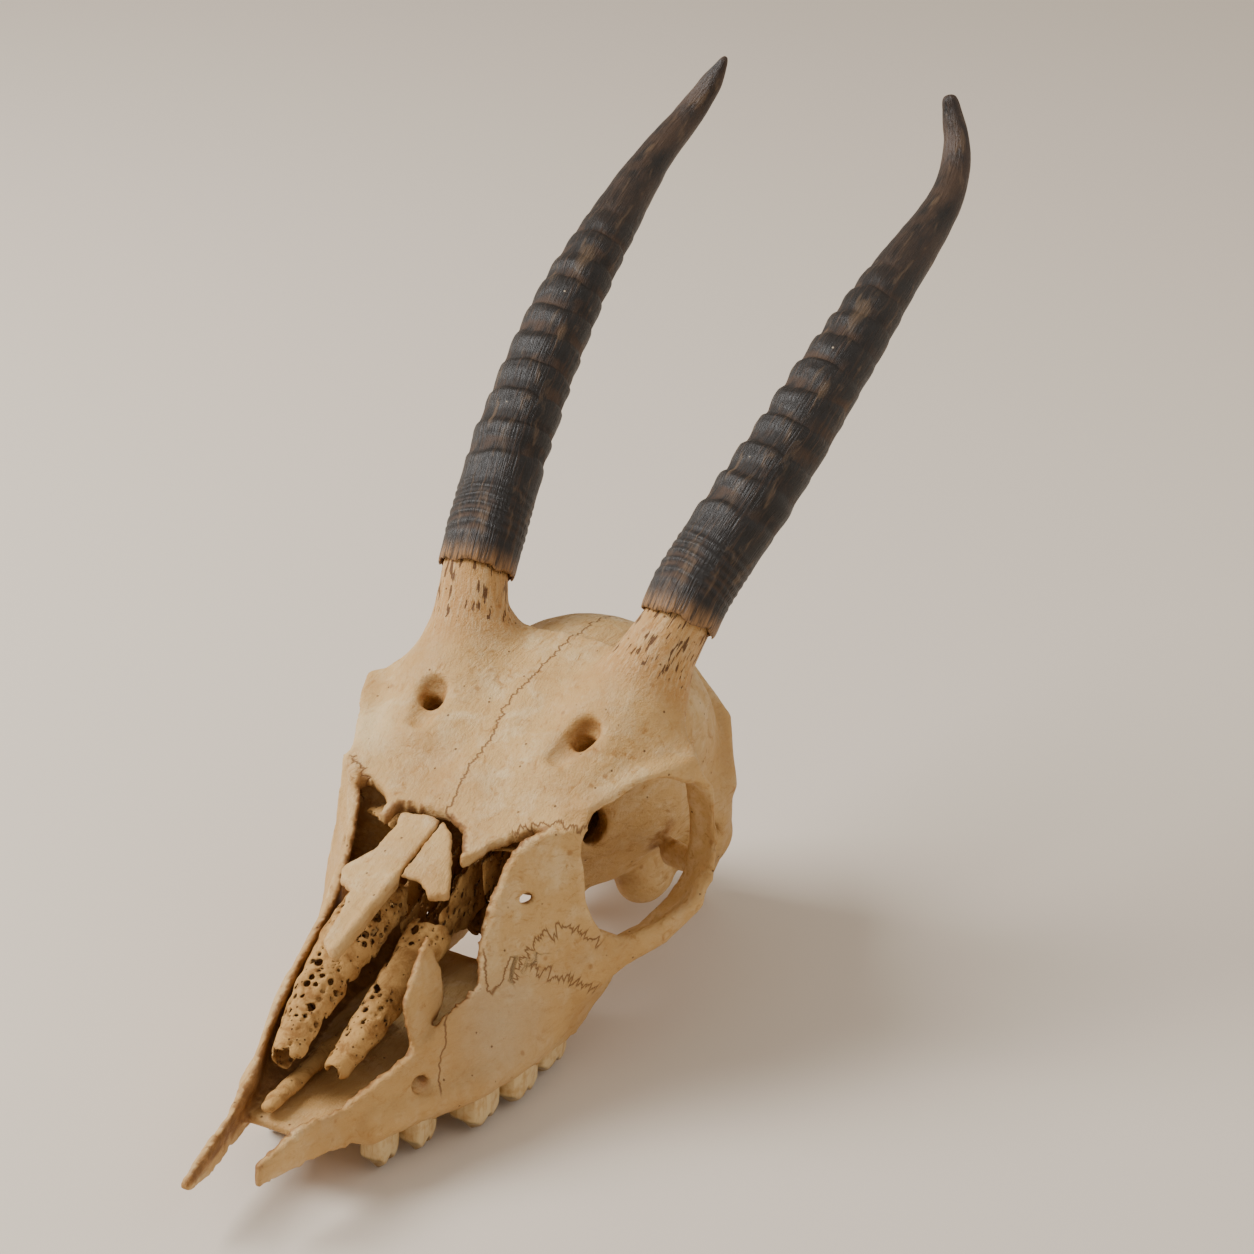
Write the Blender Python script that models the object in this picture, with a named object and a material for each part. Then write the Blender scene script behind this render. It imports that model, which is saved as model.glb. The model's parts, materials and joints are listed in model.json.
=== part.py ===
"""Antelope skull: bone skull with horn cores, horn sheaths, cheek teeth and broken nose bones.

Lengths below are millimetres in the skull's own layout: x to the animal's left, y back from
the muzzle tip along the midline, z up from the plane that the cheek teeth stand on. The
function `place` turns them into metres and moves the middle of the part's box to the origin.
"""

import math
from collections import namedtuple

import bmesh
import bpy
import numpy as np
from mathutils import Vector

# Frame
MM = 0.001
MIDDLE_Y = 125.2

# Skull clay
VOXEL = 0.95
SKULL_FACES = 5300
SMOOTH_STEPS = 3
WALL = 0.95

# Rounded ends of bars
BAR_SIDES = 14
CAP_LENGTH = 0.7
CAP_SHARE = 0.6

Bar = namedtuple("Bar", "path broad thin towards")
Lump = namedtuple("Lump", "centre radii")

# Braincase and the bone in the middle of the skull
BRAIN_CENTRE = (0.0, 141.0, 45.0)
BRAIN_RADII = (27.0, 27.0, 28.0)
BRAIN_WALL = 2.6
MIDDLE_LUMPS = (
    Lump(BRAIN_CENTRE, BRAIN_RADII),
    Lump((0, 152, 40), (24, 17, 25)),
    Lump((0, 124, 46), (19, 20, 23)),
    Lump((0, 138, 26), (15, 28, 10)),
    Lump((0, 109, 46), (13.5, 25, 17)),
)

# Forehead profile along the midline, y then z
FOREHEAD_Y = (40.0, 60.0, 75.0, 84.9, 101.3, 117.8, 134.6, 150.0)
FOREHEAD_Z = (39.0, 46.5, 51.0, 54.7, 62.6, 69.6, 73.4, 74.0)
BROW_START = 23.0
BROW_DROP = 8.7
BROW_REACH = 14.7
BROW_CURVE = 1.3
FOREHEAD_HALF = 1.3

# Nose bones lie on a plane that slopes down from the forehead
NASION_Y = 84.9
NASION_Z = 54.7
NASAL_SLOPE = 0.318
NASAL_FLAT = 2.0
NASAL_ARCH = 0.02

# Cheek: half-width of the face at each distance from the muzzle tip and each height
CHEEK_STEP = 10.0
CHEEK_HEIGHTS = (8.0, 15.0, 25.0, 35.0, 45.0, 55.0)
CHEEK_WIDTHS = (
    (5.0, 5.0, 4.6, 4.2, 4.0, 4.0),
    (6.8, 6.6, 5.8, 5.2, 5.0, 5.0),
    (8.6, 8.2, 7.0, 6.0, 5.5, 5.5),
    (11.0, 10.6, 8.8, 7.2, 6.5, 6.0),
    (13.8, 14.4, 12.4, 9.6, 8.0, 7.0),
    (17.6, 18.4, 15.8, 12.4, 10.5, 9.0),
    (21.2, 22.2, 18.8, 15.2, 12.5, 11.0),
    (23.6, 25.0, 22.4, 18.4, 15.0, 13.0),
    (24.8, 27.0, 26.8, 23.4, 20.0, 17.6),
    (24.6, 28.0, 31.0, 30.2, 28.6, 27.0),
    (24.0, 28.0, 33.0, 36.0, 36.0, 35.0),
)

# Outlines of the cheek plates, (y, z) points; the left one is broken shorter in front
CHEEK_BACK = (
    (36.0, 8.6), (38.0, 7.5), (97.0, 7.5), (100.0, 12.0), (99.5, 22.0), (96.5, 27.5),
    (92.0, 31.0), (88.5, 37.0), (87.5, 42.0), (88.5, 50.0), (91.5, 56.0),
)
LEFT_CHEEK = CHEEK_BACK + (
    (84.0, 55.5), (80.0, 53.0), (76.0, 48.2), (73.0, 44.0), (68.9, 37.3), (65.5, 30.0),
    (59.5, 28.0), (50.5, 24.5), (43.8, 21.8), (30.1, 18.2), (19.5, 18.9), (7.6, 17.0),
    (7.2, 12.0), (20.0, 11.3), (30.0, 10.3),
)
RIGHT_CHEEK = CHEEK_BACK + (
    (84.0, 56.0), (80.0, 50.0), (74.0, 41.0), (70.0, 36.0), (57.0, 33.5), (44.0, 30.0),
    (36.0, 25.5), (29.0, 20.4), (18.0, 16.4), (0.8, 13.5), (0.6, 11.0), (12.0, 9.2),
    (20.0, 9.0), (30.0, 9.0),
)

# Bony roof of the mouth, (x, y) points
PALATE = (
    (-8.0, 24.0), (-10.0, 34.0), (-18.0, 60.0), (-20.0, 97.0),
    (20.0, 97.0), (18.0, 60.0), (10.0, 34.0), (8.0, 24.0),
)
PALATE_HEIGHT = 13.2
PALATE_ARCH = 0.004

# Forehead plate, (x, y) points: the broken edge in front from left to right, then the brows
FOREHEAD_FRONT = (
    (22.0, 85.6), (19.0, 86.0), (16.9, 83.6), (14.5, 81.9), (12.5, 79.5), (10.9, 76.6),
    (9.2, 74.2), (4.8, 81.2), (1.0, 83.2), (-10.6, 83.2), (-11.2, 79.0), (-13.6, 78.8),
    (-13.0, 83.0), (-19.0, 86.5), (-22.0, 85.6),
)
BROW = ((27.5, 91.0), (33.0, 101.0), (38.5, 113.0), (38.5, 118.0), (28.0, 126.0), (20.0, 134.0))

# Rim of the left eye socket, round its outer edge
SOCKET_RIM = (
    (27.5, 92.5, 57.9), (32.4, 104.0, 60.6), (37.7, 116.0, 61.2), (40.7, 119.6, 54.4),
    (42.7, 119.3, 43.7), (43.1, 116.6, 35.8), (41.2, 110.9, 31.2), (38.4, 103.4, 28.2),
    (35.3, 96.5, 27.9), (31.0, 90.6, 32.0), (29.1, 87.8, 39.7), (28.0, 88.5, 48.0),
    (27.5, 92.5, 57.9),
)
SOCKET_AXIS = (0.894, -0.408, 0.183)
RIM_DEPTHS = (2.4, 2.6, 3.4, 4.2, 4.6, 4.6, 4.2, 3.6, 3.0, 2.4, 2.2, 2.2, 2.4)
RIM_THICK = 1.35

# The right brow stands out a little further than the left
FAR_BROW_SPREAD = 2.6
FAR_BROW_Y = 110.0
FAR_BROW_LENGTH = 9.0
FAR_BROW_LOWEST = 40.0

# Horn: centre line of the left one, from inside the forehead to the tip
HORN_LINE = (
    (18.5, 121.0, 62.0), (20.6, 126.0, 70.0), (22.4, 130.4, 77.2), (24.0, 134.0, 82.0),
    (24.6, 138.0, 87.0), (25.8, 143.4, 92.0), (27.2, 149.4, 97.0), (28.7, 155.8, 102.0),
    (29.8, 162.7, 107.0), (31.0, 169.5, 112.0), (31.8, 176.3, 117.0), (32.6, 183.7, 122.0),
    (33.4, 191.8, 127.0), (33.9, 200.7, 132.0), (34.4, 210.3, 137.0), (35.1, 220.7, 142.0),
    (35.2, 231.3, 147.0), (33.8, 240.0, 152.0), (31.8, 244.8, 157.0), (29.5, 247.2, 162.0),
    (27.5, 248.3, 166.9),
)
RIM_POINT = 3
CORE_POINTS = 12
CURVE_STEPS = 8
CORE_RADII = (12.5, 9.4, 7.6, 7.0, 6.9, 6.6, 6.2, 5.8, 5.2, 4.6, 3.8, 2.6)

# Bars and lumps of bone that the skull has on both sides, given for the left
ACROSS = (1, 0, 0)
ALONG = (0, 1, 0)
UPWARD = (0, 0, 1)
HORN_CORE = Bar(HORN_LINE[:CORE_POINTS], CORE_RADII, CORE_RADII, ACROSS)
HORN_FOOT = Bar(((14, 100, 58), (17, 112, 62), (20, 124, 66)), 9.0, 5.0, ACROSS)
CHEEKBONE = Bar(
    ((29, 86, 23), (34, 95, 26.5), (38.5, 104, 28.5), (41, 112, 33)),
    (5.0, 3.4, 2.8, 2.8), 1.7, UPWARD,
)
CHEEK_ARCH = Bar(
    ((40.5, 113, 34), (38.5, 121, 33), (33, 129, 31), (24, 134, 29)),
    (3.2, 2.8, 2.8, 3.4), (1.5, 1.4, 1.4, 2.0), UPWARD,
)
TOOTH_RIDGE = Bar(
    ((12, 36, 12), (14.6, 46, 12), (19.4, 60, 12), (21, 74, 12), (20.6, 93, 12)),
    (4.7, 5.2, 6.2, 6.5, 6.3), 4.2, ACROSS,
)
THROAT_WALL = Bar(
    ((11, 86, 15), (10, 104, 17), (9, 122, 22)), (5.5, 7.0, 4.0), 1.2, UPWARD,
)
SOCKET_WALL = Bar(
    ((26.5, 89, 40), (20, 91.5, 40), (15.5, 95, 40), (12.5, 100, 40), (11.5, 106, 40)),
    15.0, 1.2, UPWARD,
)
EAR_SPUR = Bar(
    ((23.5, 157, 21), (19.5, 162, 11), (15.5, 166.5, 0.9)),
    (4.5, 3.2, 1.8), (2.4, 1.9, 1.4), ALONG,
)
NECK_CREST = Bar(
    ((26, 156, 36), (21, 163, 47), (10, 167, 54), (0, 168.5, 55)), 2.4, 2.0, UPWARD,
)
PAIRED_BARS = (
    HORN_CORE, HORN_FOOT, CHEEKBONE, CHEEK_ARCH, TOOTH_RIDGE, THROAT_WALL, SOCKET_WALL,
    EAR_SPUR, NECK_CREST,
)
PAIRED_LUMPS = (
    Lump((19.5, 91, 16), (7.0, 8.5, 9.0)),
    Lump((13.5, 144, 16.5), (6.0, 8.5, 7.0)),
    Lump((20.5, 154, 28), (7.2, 8.5, 13.5)),
    Lump((8.5, 166.5, 21), (5.5, 5.0, 7.0)),
)

# Openings in the middle of the skull: braincase, nose, hole for the spine, rear nose passage
BRAIN_HOLLOW = Lump(BRAIN_CENTRE, tuple(radius - BRAIN_WALL for radius in BRAIN_RADII))
NOSE_HOLLOW = Lump((0, 84, 40), (12.0, 22, 11.5))
SPINE_HOLE = Bar(((0, 150, 36), (0, 164, 31), (0, 180, 27)), 7.6, 6.6, ACROSS)
NOSE_PASSAGE = Bar(((0, 84, 24), (0, 108, 24)), 8.5, 6.0, ACROSS)

# Openings on both sides, given for the left
PAIRED_HOLLOWS = (
    Lump((32, 106.5, 45.5), (19.0, 15.5, 14.5)),
    Lump((28, 97.5, 50), (10.0, 8.0, 7.6)),
)
BROW_PIT = Bar(
    ((16.2, 99, 63.6), (17.2, 104.5, 65.6), (18.0, 107.5, 66.8)),
    (1.8, 2.8, 2.8), (1.2, 2.2, 3.0), ACROSS,
)
BROW_HOLE = Bar(((17.2, 105.5, 67), (19, 110, 59)), 2.3, 2.3, ACROSS)
CHEEK_HOLE = Bar(((22, 46, 16), (13, 47, 17)), 2.0, 1.7, ALONG)
EAR_HOLE = Bar(((25, 149.5, 27), (36, 148, 26)), 2.2, 2.2, UPWARD)
EYE_NERVE_HOLE = Bar(((22, 111, 43.5), (9, 121, 38)), 4.2, 3.0, UPWARD)
PAIRED_HOLES = (BROW_PIT, BROW_HOLE, CHEEK_HOLE, EAR_HOLE, EYE_NERVE_HOLE)

# Horn sheath: radius along its length, from rim to tip
SHEATH_SHARES = (0.0, 0.06, 0.2, 0.4, 0.5, 0.58, 0.66, 0.73, 0.8, 0.85, 0.9, 0.95, 1.0)
SHEATH_RADII = (8.3, 8.5, 8.35, 7.5, 6.9, 6.2, 5.5, 4.8, 4.0, 3.6, 3.2, 2.6)
LEFT_TIP_RADIUS = 1.5
RIGHT_TIP_RADIUS = 0.7
SHEATH_SIDES = 14
HOLLOW_SHARE = 0.5
BORE_STATIONS = 7
BORE_END_RADIUS = 0.8
CORE_GAP = 0.9
SHEATH_WALL = 0.75
RIM_SWELL = 0.1

# Rings round the sheath: fine ones at the rim, then big ones, then a smooth tip
BASE_RINGS = 5
BASE_RINGS_START = 0.012
BASE_RINGS_END = 0.11
BASE_SWELL = 0.1
BASE_DIP = 0.17
BIG_RINGS = 11
BIG_RINGS_END = 0.66
RING_SWELL = 0.42
RING_FADE = 0.55
RING_SPREAD = 0.94
RING_STEP = 0.011
FRONT_LEAN = 0.35
SMOOTH_STATIONS = 9
TIP_SHARE = 0.995

# Cheek teeth, from front to back: y of the middle, length along y, width, x of the middle
TEETH = {
    "premolar_front": (40.5, 8.0, 6.0, 11.6),
    "premolar_back": (49.3, 7.6, 6.6, 14.4),
    "molar_front": (62.3, 10.6, 8.2, 19.6),
    "molar_middle": (74.2, 11.0, 8.6, 21.2),
    "molar_back": (87.0, 11.4, 8.2, 20.8),
}
TOOTH_TOP = 11.6
TOOTH_NECK = 8.2
TOOTH_SHOULDER = 3.4
ROOT_SHARE = 0.62
SOCKET_ROOM = 1.15
SOCKET_END = -4.0

# Outline of a cheek tooth seen from below, as shares of its half-width and half-length
TOOTH_OUTLINE = (
    (-1.0, -0.8), (-0.8, 0.0), (-1.0, 0.8), (-0.4, 1.0), (0.4, 1.0),
    (1.0, 0.8), (0.86, 0.0), (1.0, -0.8), (0.4, -1.0), (-0.4, -1.0),
)

# Chewing face: two worn facets f and b, and a valley v between them inside the ring r
FACET_SHIFT = 0.12
FACET_PITCH = 0.24
FACET = ((-0.2, -0.1), (-0.2, 0.1), (0.2, 0.1), (0.2, -0.1))
VALLEY = ((-0.35, 2.6), (0.4, 2.4))
CROWN_FACES = (
    "f0 f1 f2 f3", "b0 b1 b2 b3", "r0 r1 v0 f1 f0", "r1 r2 b1 b0 v0", "r2 r3 b1",
    "r3 r4 b2 b1", "r4 r5 b2", "r5 r6 v1 b3 b2", "r6 r7 f3 f2 v1", "r7 r8 f3",
    "r8 r9 f0 f3", "r9 r0 f0", "v0 b0 b3 v1 f2 f1",
)

# Bone flap left standing on the broken edge of the left cheek, (y, z) points
FLAP_FOOT = 15.4
FLAP_LEAN = 0.33
FLAP_LOWEST = 22.0
FLAP = ((61.5, 40.5), (48.5, 32.0), (46.5, 22.0), (52.0, 23.5), (60.5, 27.0), (62.3, 32.0))

# Nose bones, (x, y) points
LEFT_NASAL = (
    (0.4, 81.6), (3.6, 79.4), (7.6, 73.0), (11.4, 66.2), (8.1, 63.8), (6.3, 65.6),
    (3.9, 66.7), (0.4, 66.4),
)
RIGHT_NASAL = (
    (-0.2, 81.8), (-9.6, 81.8), (-8.6, 78.4), (-8.9, 71.3), (-13.6, 66.6), (-11.0, 62.0),
    (-7.2, 60.0), (-6.4, 56.5), (-4.6, 46.4), (-3.4, 45.4), (-0.4, 43.6), (-0.2, 66.2),
)
NASAL_HALF = 0.9

# Vomer: a low bony bar along the floor of the nose
VOMER = Bar(
    ((-3.2, 25.0, 16.6), (-4.4, 44.0, 16.6), (-3.4, 64.0, 17.4)),
    (1.2, 1.7, 2.0), (1.6, 2.0, 1.6), UPWARD,
)
VOMER_SIDES = 8

# Turbinates: curled plates in the nose, as centre line and radii
RIGHT_SCROLL = ((-6.8, 70.0, 39.0), (-6.8, 58.0, 34.0), (-6.4, 46.0, 28.6), (-5.0, 35.0, 23.0))
RIGHT_SCROLL_RADII = (6.0, 6.0, 4.6, 3.6)
LEFT_SCROLL = ((5.4, 68.0, 34.5), (5.2, 58.0, 30.0), (4.8, 47.0, 25.0), (4.0, 38.0, 21.0))
LEFT_SCROLL_RADII = (4.6, 4.2, 3.4, 2.6)
SCROLL_WALL = 1.2
SCROLL_SIDES = 10
SCROLL_OPEN = math.radians(70.0)
SCROLL_TURN = math.radians(130.0)


def place(x, y, z):
    """Skull layout in millimetres to the part's frame in metres."""
    return Vector((x, y - MIDDLE_Y, z)) * MM


def clear_scene():
    for thing in list(bpy.data.objects):
        bpy.data.objects.remove(thing)


def material(name, colour, roughness):
    made = bpy.data.materials.new(name)
    made.use_nodes = True
    shader = made.node_tree.nodes["Principled BSDF"]
    shader.inputs["Base Color"].default_value = (*colour, 1.0)
    shader.inputs["Roughness"].default_value = roughness
    shader.inputs["Metallic"].default_value = 0.0
    return made


def new_object(name, bm, finish=None):
    """Turn a bmesh into a named object."""
    mesh = bpy.data.meshes.new(name)
    bmesh.ops.recalc_face_normals(bm, faces=bm.faces[:])
    bm.to_mesh(mesh)
    bm.free()
    thing = bpy.data.objects.new(name, mesh)
    bpy.context.collection.objects.link(thing)
    if finish:
        mesh.materials.append(finish)
    return thing


def forehead(x, y):
    """Height of the forehead's outer face."""
    middle = np.interp(y, FOREHEAD_Y, FOREHEAD_Z)
    beside = max(0.0, abs(x) - BROW_START) / BROW_REACH
    return middle - BROW_DROP * beside**BROW_CURVE


def forehead_middle(x, y):
    """Height of the middle of the forehead plate."""
    return forehead(x, y) - FOREHEAD_HALF


def flap(y, z):
    """Distance of the broken cheek flap from the middle of the nose."""
    return FLAP_FOOT - FLAP_LEAN * (z - FLAP_LOWEST)


def nasal(x, y):
    """Height of the nose bones' upper face."""
    beside = max(0.0, abs(x) - NASAL_FLAT)
    return NASION_Z - NASAL_SLOPE * (NASION_Y - y) - NASAL_ARCH * beside**2


def nasal_middle(x, y):
    """Height of the middle of a nose bone."""
    return nasal(x, y) - NASAL_HALF


def cheek(y, z):
    """Half-width of the face, between the stations of CHEEK_WIDTHS."""
    row = min(max(y / CHEEK_STEP, 0.0), len(CHEEK_WIDTHS) - 1.001)
    first = int(row)
    near = np.interp(z, CHEEK_HEIGHTS, CHEEK_WIDTHS[first])
    far = np.interp(z, CHEEK_HEIGHTS, CHEEK_WIDTHS[first + 1])
    return near + (far - near) * (row - first)


def palate(x, y):
    """Height of the middle of the roof of the mouth."""
    return PALATE_HEIGHT - PALATE_ARCH * x * x


def add_lump(bm, lump, side=1):
    """Ball stretched to three radii."""
    made = bmesh.ops.create_uvsphere(bm, u_segments=28, v_segments=18, radius=1.0)["verts"]
    for vert in made:
        x, y, z = (c + r * p for c, r, p in zip(lump.centre, lump.radii, vert.co))
        vert.co = place(side * x, y, z)


def bridge(bm, rings, closed_end=True):
    """Skin a row of rings of equal length, from a closed first ring to the last."""
    rows = [[bm.verts.new(place(*point)) for point in ring] for ring in rings]
    count = len(rows[0])
    for low, high in zip(rows, rows[1:]):
        for k in range(count):
            after = (k + 1) % count
            bm.faces.new((low[k], low[after], high[after], high[k]))
    bm.faces.new(rows[0][::-1])
    if closed_end:
        bm.faces.new(rows[-1])
    return rows


def ellipse(centre, broad, thin, share, sides):
    """Ring of points round a centre, spanned by two half-width vectors."""
    turns = [math.tau * n / sides for n in range(sides)]
    return [centre + share * (broad * math.cos(t) + thin * math.sin(t)) for t in turns]


def add_bar(bm, bar, side=1, sides=BAR_SIDES):
    """Bar along a path: half-width `broad` towards a direction, `thin` across it."""
    mirror = np.array((side, 1.0, 1.0))
    points = [np.array(p, float) * mirror for p in bar.path]
    towards = np.array(bar.towards, float) * mirror
    broads = np.broadcast_to(bar.broad, len(points))
    thins = np.broadcast_to(bar.thin, len(points))
    rings = []
    last = len(points) - 1
    for k, point in enumerate(points):
        before, after = points[max(k - 1, 0)], points[min(k + 1, last)]
        along = (after - before) / np.linalg.norm(after - before)
        up = towards - (towards @ along) * along
        up /= np.linalg.norm(up)
        broad, thin = up * broads[k], np.cross(along, up) * thins[k]
        cap = CAP_LENGTH * min(broads[k], thins[k])
        if k == 0:
            rings.append(ellipse(point - along * cap, broad, thin, CAP_SHARE, sides))
        rings.append(ellipse(point, broad, thin, 1.0, sides))
        if k == last:
            rings.append(ellipse(point + along * cap, broad, thin, CAP_SHARE, sides))
    bridge(bm, rings)


def add_plate(bm, outline, surface, half, axis, side=1, cell=6.0):
    """Plate of thickness 2 * half on a surface: x = surface(y, z) or z = surface(x, y)."""
    sheet = bmesh.new()
    sheet.faces.new([sheet.verts.new((u, v, 0.0)) for u, v in outline])
    for direction in (0, 1):
        low = min(point[direction] for point in outline)
        high = max(point[direction] for point in outline)
        normal = (1.0, 0.0, 0.0) if direction == 0 else (0.0, 1.0, 0.0)
        for k in range(1, int((high - low) / cell) + 1):
            start = tuple((low + k * cell) * n for n in normal)
            everything = sheet.verts[:] + sheet.edges[:] + sheet.faces[:]
            bmesh.ops.bisect_plane(sheet, geom=everything, plane_co=start, plane_no=normal)
    bmesh.ops.triangulate(sheet, faces=sheet.faces[:])
    faces = sheet.faces[:]
    raised = bmesh.ops.extrude_face_region(sheet, geom=faces)["geom"]
    upper = {item for item in raised if isinstance(item, bmesh.types.BMVert)}
    for vert in sheet.verts:
        u, v, _ = vert.co
        level = surface(u, v) + (half if vert in upper else -half)
        vert.co = place(side * level, u, v) if axis == 0 else place(u, v, level)
    mesh = bpy.data.meshes.new("plate")
    bmesh.ops.recalc_face_normals(sheet, faces=sheet.faces[:])
    sheet.to_mesh(mesh)
    sheet.free()
    bm.from_mesh(mesh)
    bpy.data.meshes.remove(mesh)


def sided(path, side):
    return [(side * x, y, z) for x, y, z in path]


def socket_rim(side):
    """Rim of one eye socket; the right brow stands out a little further than the left."""
    spread = FAR_BROW_SPREAD if side < 0 else 0.0
    a, b, c = SOCKET_AXIS
    line = []
    for (x, y, z), depth in zip(SOCKET_RIM, RIM_DEPTHS):
        if z > FAR_BROW_LOWEST:
            x += spread * math.exp(-(((y - FAR_BROW_Y) / FAR_BROW_LENGTH) ** 2))
        line.append((x - a * depth, y - b * depth, z - c * depth))
    return Bar(line, RIM_DEPTHS, RIM_THICK, SOCKET_AXIS)


def build_clay():
    """All the bone as overlapping closed shapes in one mesh."""
    bm = bmesh.new()
    for lump in MIDDLE_LUMPS:
        add_lump(bm, lump)
    brows = tuple((-x, y) for x, y in BROW) + BROW[::-1]
    add_plate(bm, FOREHEAD_FRONT + brows, forehead_middle, FOREHEAD_HALF, 2)
    add_plate(bm, FLAP, flap, WALL, 0)
    add_plate(bm, PALATE, palate, WALL, 2)
    for side, outline in ((1, LEFT_CHEEK), (-1, RIGHT_CHEEK)):
        add_plate(bm, outline, cheek, WALL, 0, side)
        for bar in PAIRED_BARS + (socket_rim(side),):
            add_bar(bm, bar, side)
        for lump in PAIRED_LUMPS:
            add_lump(bm, lump, side)
    return bm


def build_openings():
    """Everything that is open in the bone, as one mesh."""
    bm = bmesh.new()
    for lump in (BRAIN_HOLLOW, NOSE_HOLLOW):
        add_lump(bm, lump)
    for bar in (SPINE_HOLE, NOSE_PASSAGE):
        add_bar(bm, bar)
    for side in (1, -1):
        for lump in PAIRED_HOLLOWS:
            add_lump(bm, lump, side)
        for bar in PAIRED_HOLES:
            add_bar(bm, bar, side)
        for size in TEETH.values():
            add_tooth_socket(bm, size, side)
    return bm


def add_modifier(thing, kind, **settings):
    made = thing.modifiers.new(kind.title(), kind)
    for name, value in settings.items():
        setattr(made, name, value)
    return made


def build_skull(finish):
    """Fuse the clay, cut its openings, then thin the mesh out."""
    cutter = new_object("openings", build_openings())
    add_modifier(cutter, "REMESH", mode="VOXEL", voxel_size=VOXEL * MM)
    guide(cutter)
    skull = new_object("skull", build_clay(), finish)
    add_modifier(skull, "REMESH", mode="VOXEL", voxel_size=VOXEL * MM, use_smooth_shade=True)
    add_modifier(skull, "BOOLEAN", operation="DIFFERENCE", object=cutter, solver="EXACT")
    add_modifier(skull, "REMESH", mode="VOXEL", voxel_size=VOXEL * MM, use_smooth_shade=True)
    add_modifier(skull, "SMOOTH", factor=0.5, iterations=SMOOTH_STEPS)
    share = SKULL_FACES / count_faces(skull)
    add_modifier(skull, "DECIMATE", ratio=share, use_collapse_triangulate=True)
    return skull


def count_faces(thing):
    """Triangles of an object as its modifiers leave it."""
    seen = thing.evaluated_get(bpy.context.evaluated_depsgraph_get())
    mesh = seen.to_mesh()
    mesh.calc_loop_triangles()
    count = len(mesh.loop_triangles)
    seen.to_mesh_clear()
    return count


def guide(thing):
    """Keep a cutter out of the model."""
    thing.hide_render = True
    thing.display_type = "WIRE"


def tooth_rings(size, side, room=0.0):
    """Rings of a cheek tooth from its root down to where the chewing face starts."""
    middle_y, length, width, middle_x = size
    half_width, half_length = width / 2 + room, length / 2 + room
    rings = []
    for z, share in ((TOOTH_TOP + room, ROOT_SHARE), (TOOTH_NECK, 1.0), (TOOTH_SHOULDER, 0.94)):
        rings.append([
            (side * (middle_x + u * half_width * share), middle_y + v * half_length * share, z)
            for u, v in TOOTH_OUTLINE
        ])
    return rings


def build_tooth(name, size, side, finish):
    """Crown with two worn facets that stand on the plane z = 0."""
    middle_y, length, width, middle_x = size
    bm = bmesh.new()
    rows = bridge(bm, tooth_rings(size, side), closed_end=False)
    corners = {f"r{k}": vert for k, vert in enumerate(rows[-1])}
    for lobe, toward in (("f", -1), ("b", 1)):
        x, y = middle_x + FACET_SHIFT * width, middle_y + toward * FACET_PITCH * length
        for k, (u, v) in enumerate(FACET):
            point = (side * (x + u * width), y + v * length, 0.0)
            corners[f"{lobe}{k}"] = bm.verts.new(place(*point))
    for k, (u, z) in enumerate(VALLEY):
        point = (side * (middle_x + u * width), middle_y, z)
        corners[f"v{k}"] = bm.verts.new(place(*point))
    for face in CROWN_FACES:
        bm.faces.new([corners[word] for word in face.split()])
    bmesh.ops.triangulate(bm, faces=bm.faces[:])
    return new_object(name, bm, finish)


def add_tooth_socket(bm, size, side):
    """Open space in the jaw for a cheek tooth."""
    rings = tooth_rings(size, side, SOCKET_ROOM)
    rings.append([(x, y, SOCKET_END) for x, y, _ in rings[-1]])
    bridge(bm, rings)


def smooth_line(points, shares):
    """Points and directions on a smooth curve, at shares of its length."""
    given = np.array(points, float)
    padded = np.vstack([2 * given[0] - given[1], given, 2 * given[-1] - given[-2]])
    fine = []
    for a, b, c, d in zip(padded, padded[1:], padded[2:], padded[3:]):
        for t in np.linspace(0.0, 1.0, CURVE_STEPS, endpoint=False):
            bend = 2 * a - 5 * b + 4 * c - d
            twist = 3 * b - a - 3 * c + d
            fine.append(0.5 * (2 * b + (c - a) * t + bend * t * t + twist * t**3))
    fine = np.array(fine + [given[-1]])
    length = np.r_[0.0, np.cumsum(np.linalg.norm(np.diff(fine, axis=0), axis=1))]

    def at(distance):
        return np.stack([np.interp(distance, length, axis) for axis in fine.T], axis=1)

    wanted = np.asarray(shares) * length[-1]
    along = at(wanted + 1.0) - at(wanted - 1.0)
    return at(wanted), along / np.linalg.norm(along, axis=1)[:, None]


def horn_ring(centre, along, radius, lean=0.0):
    """One ring of points round the horn, pushed out a little on its front."""
    side = np.cross(along, UPWARD)
    side /= np.linalg.norm(side)
    front = np.cross(side, along)
    ring = []
    for n in range(SHEATH_SIDES):
        turn = math.tau * n / SHEATH_SIDES
        reach = radius + lean * max(0.0, math.cos(turn))
        ring.append(centre + (front * math.cos(turn) + side * math.sin(turn)) * reach)
    return ring


def sheath_stations():
    """Share of the length and extra radius at each ring, from rim to tip."""
    stations = [(0.0, RIM_SWELL)]
    base_span = BASE_RINGS_END - BASE_RINGS_START
    for k in range(BASE_RINGS):
        start = BASE_RINGS_START + base_span * k / BASE_RINGS
        stations.append((start, BASE_SWELL))
        stations.append((start + 0.5 * RING_STEP, -BASE_DIP))
    span = BIG_RINGS_END - BASE_RINGS_END
    for k in range(BIG_RINGS):
        start = BASE_RINGS_END + span * (k / BIG_RINGS) ** RING_SPREAD
        swell = RING_SWELL * (1.0 - RING_FADE * k / BIG_RINGS)
        stations.append((start, swell))
        stations.append((start + RING_STEP, -swell))
    smooth = np.linspace(BIG_RINGS_END + 2 * RING_STEP, TIP_SHARE, SMOOTH_STATIONS)
    return stations + [(share, 0.0) for share in smooth]


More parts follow.
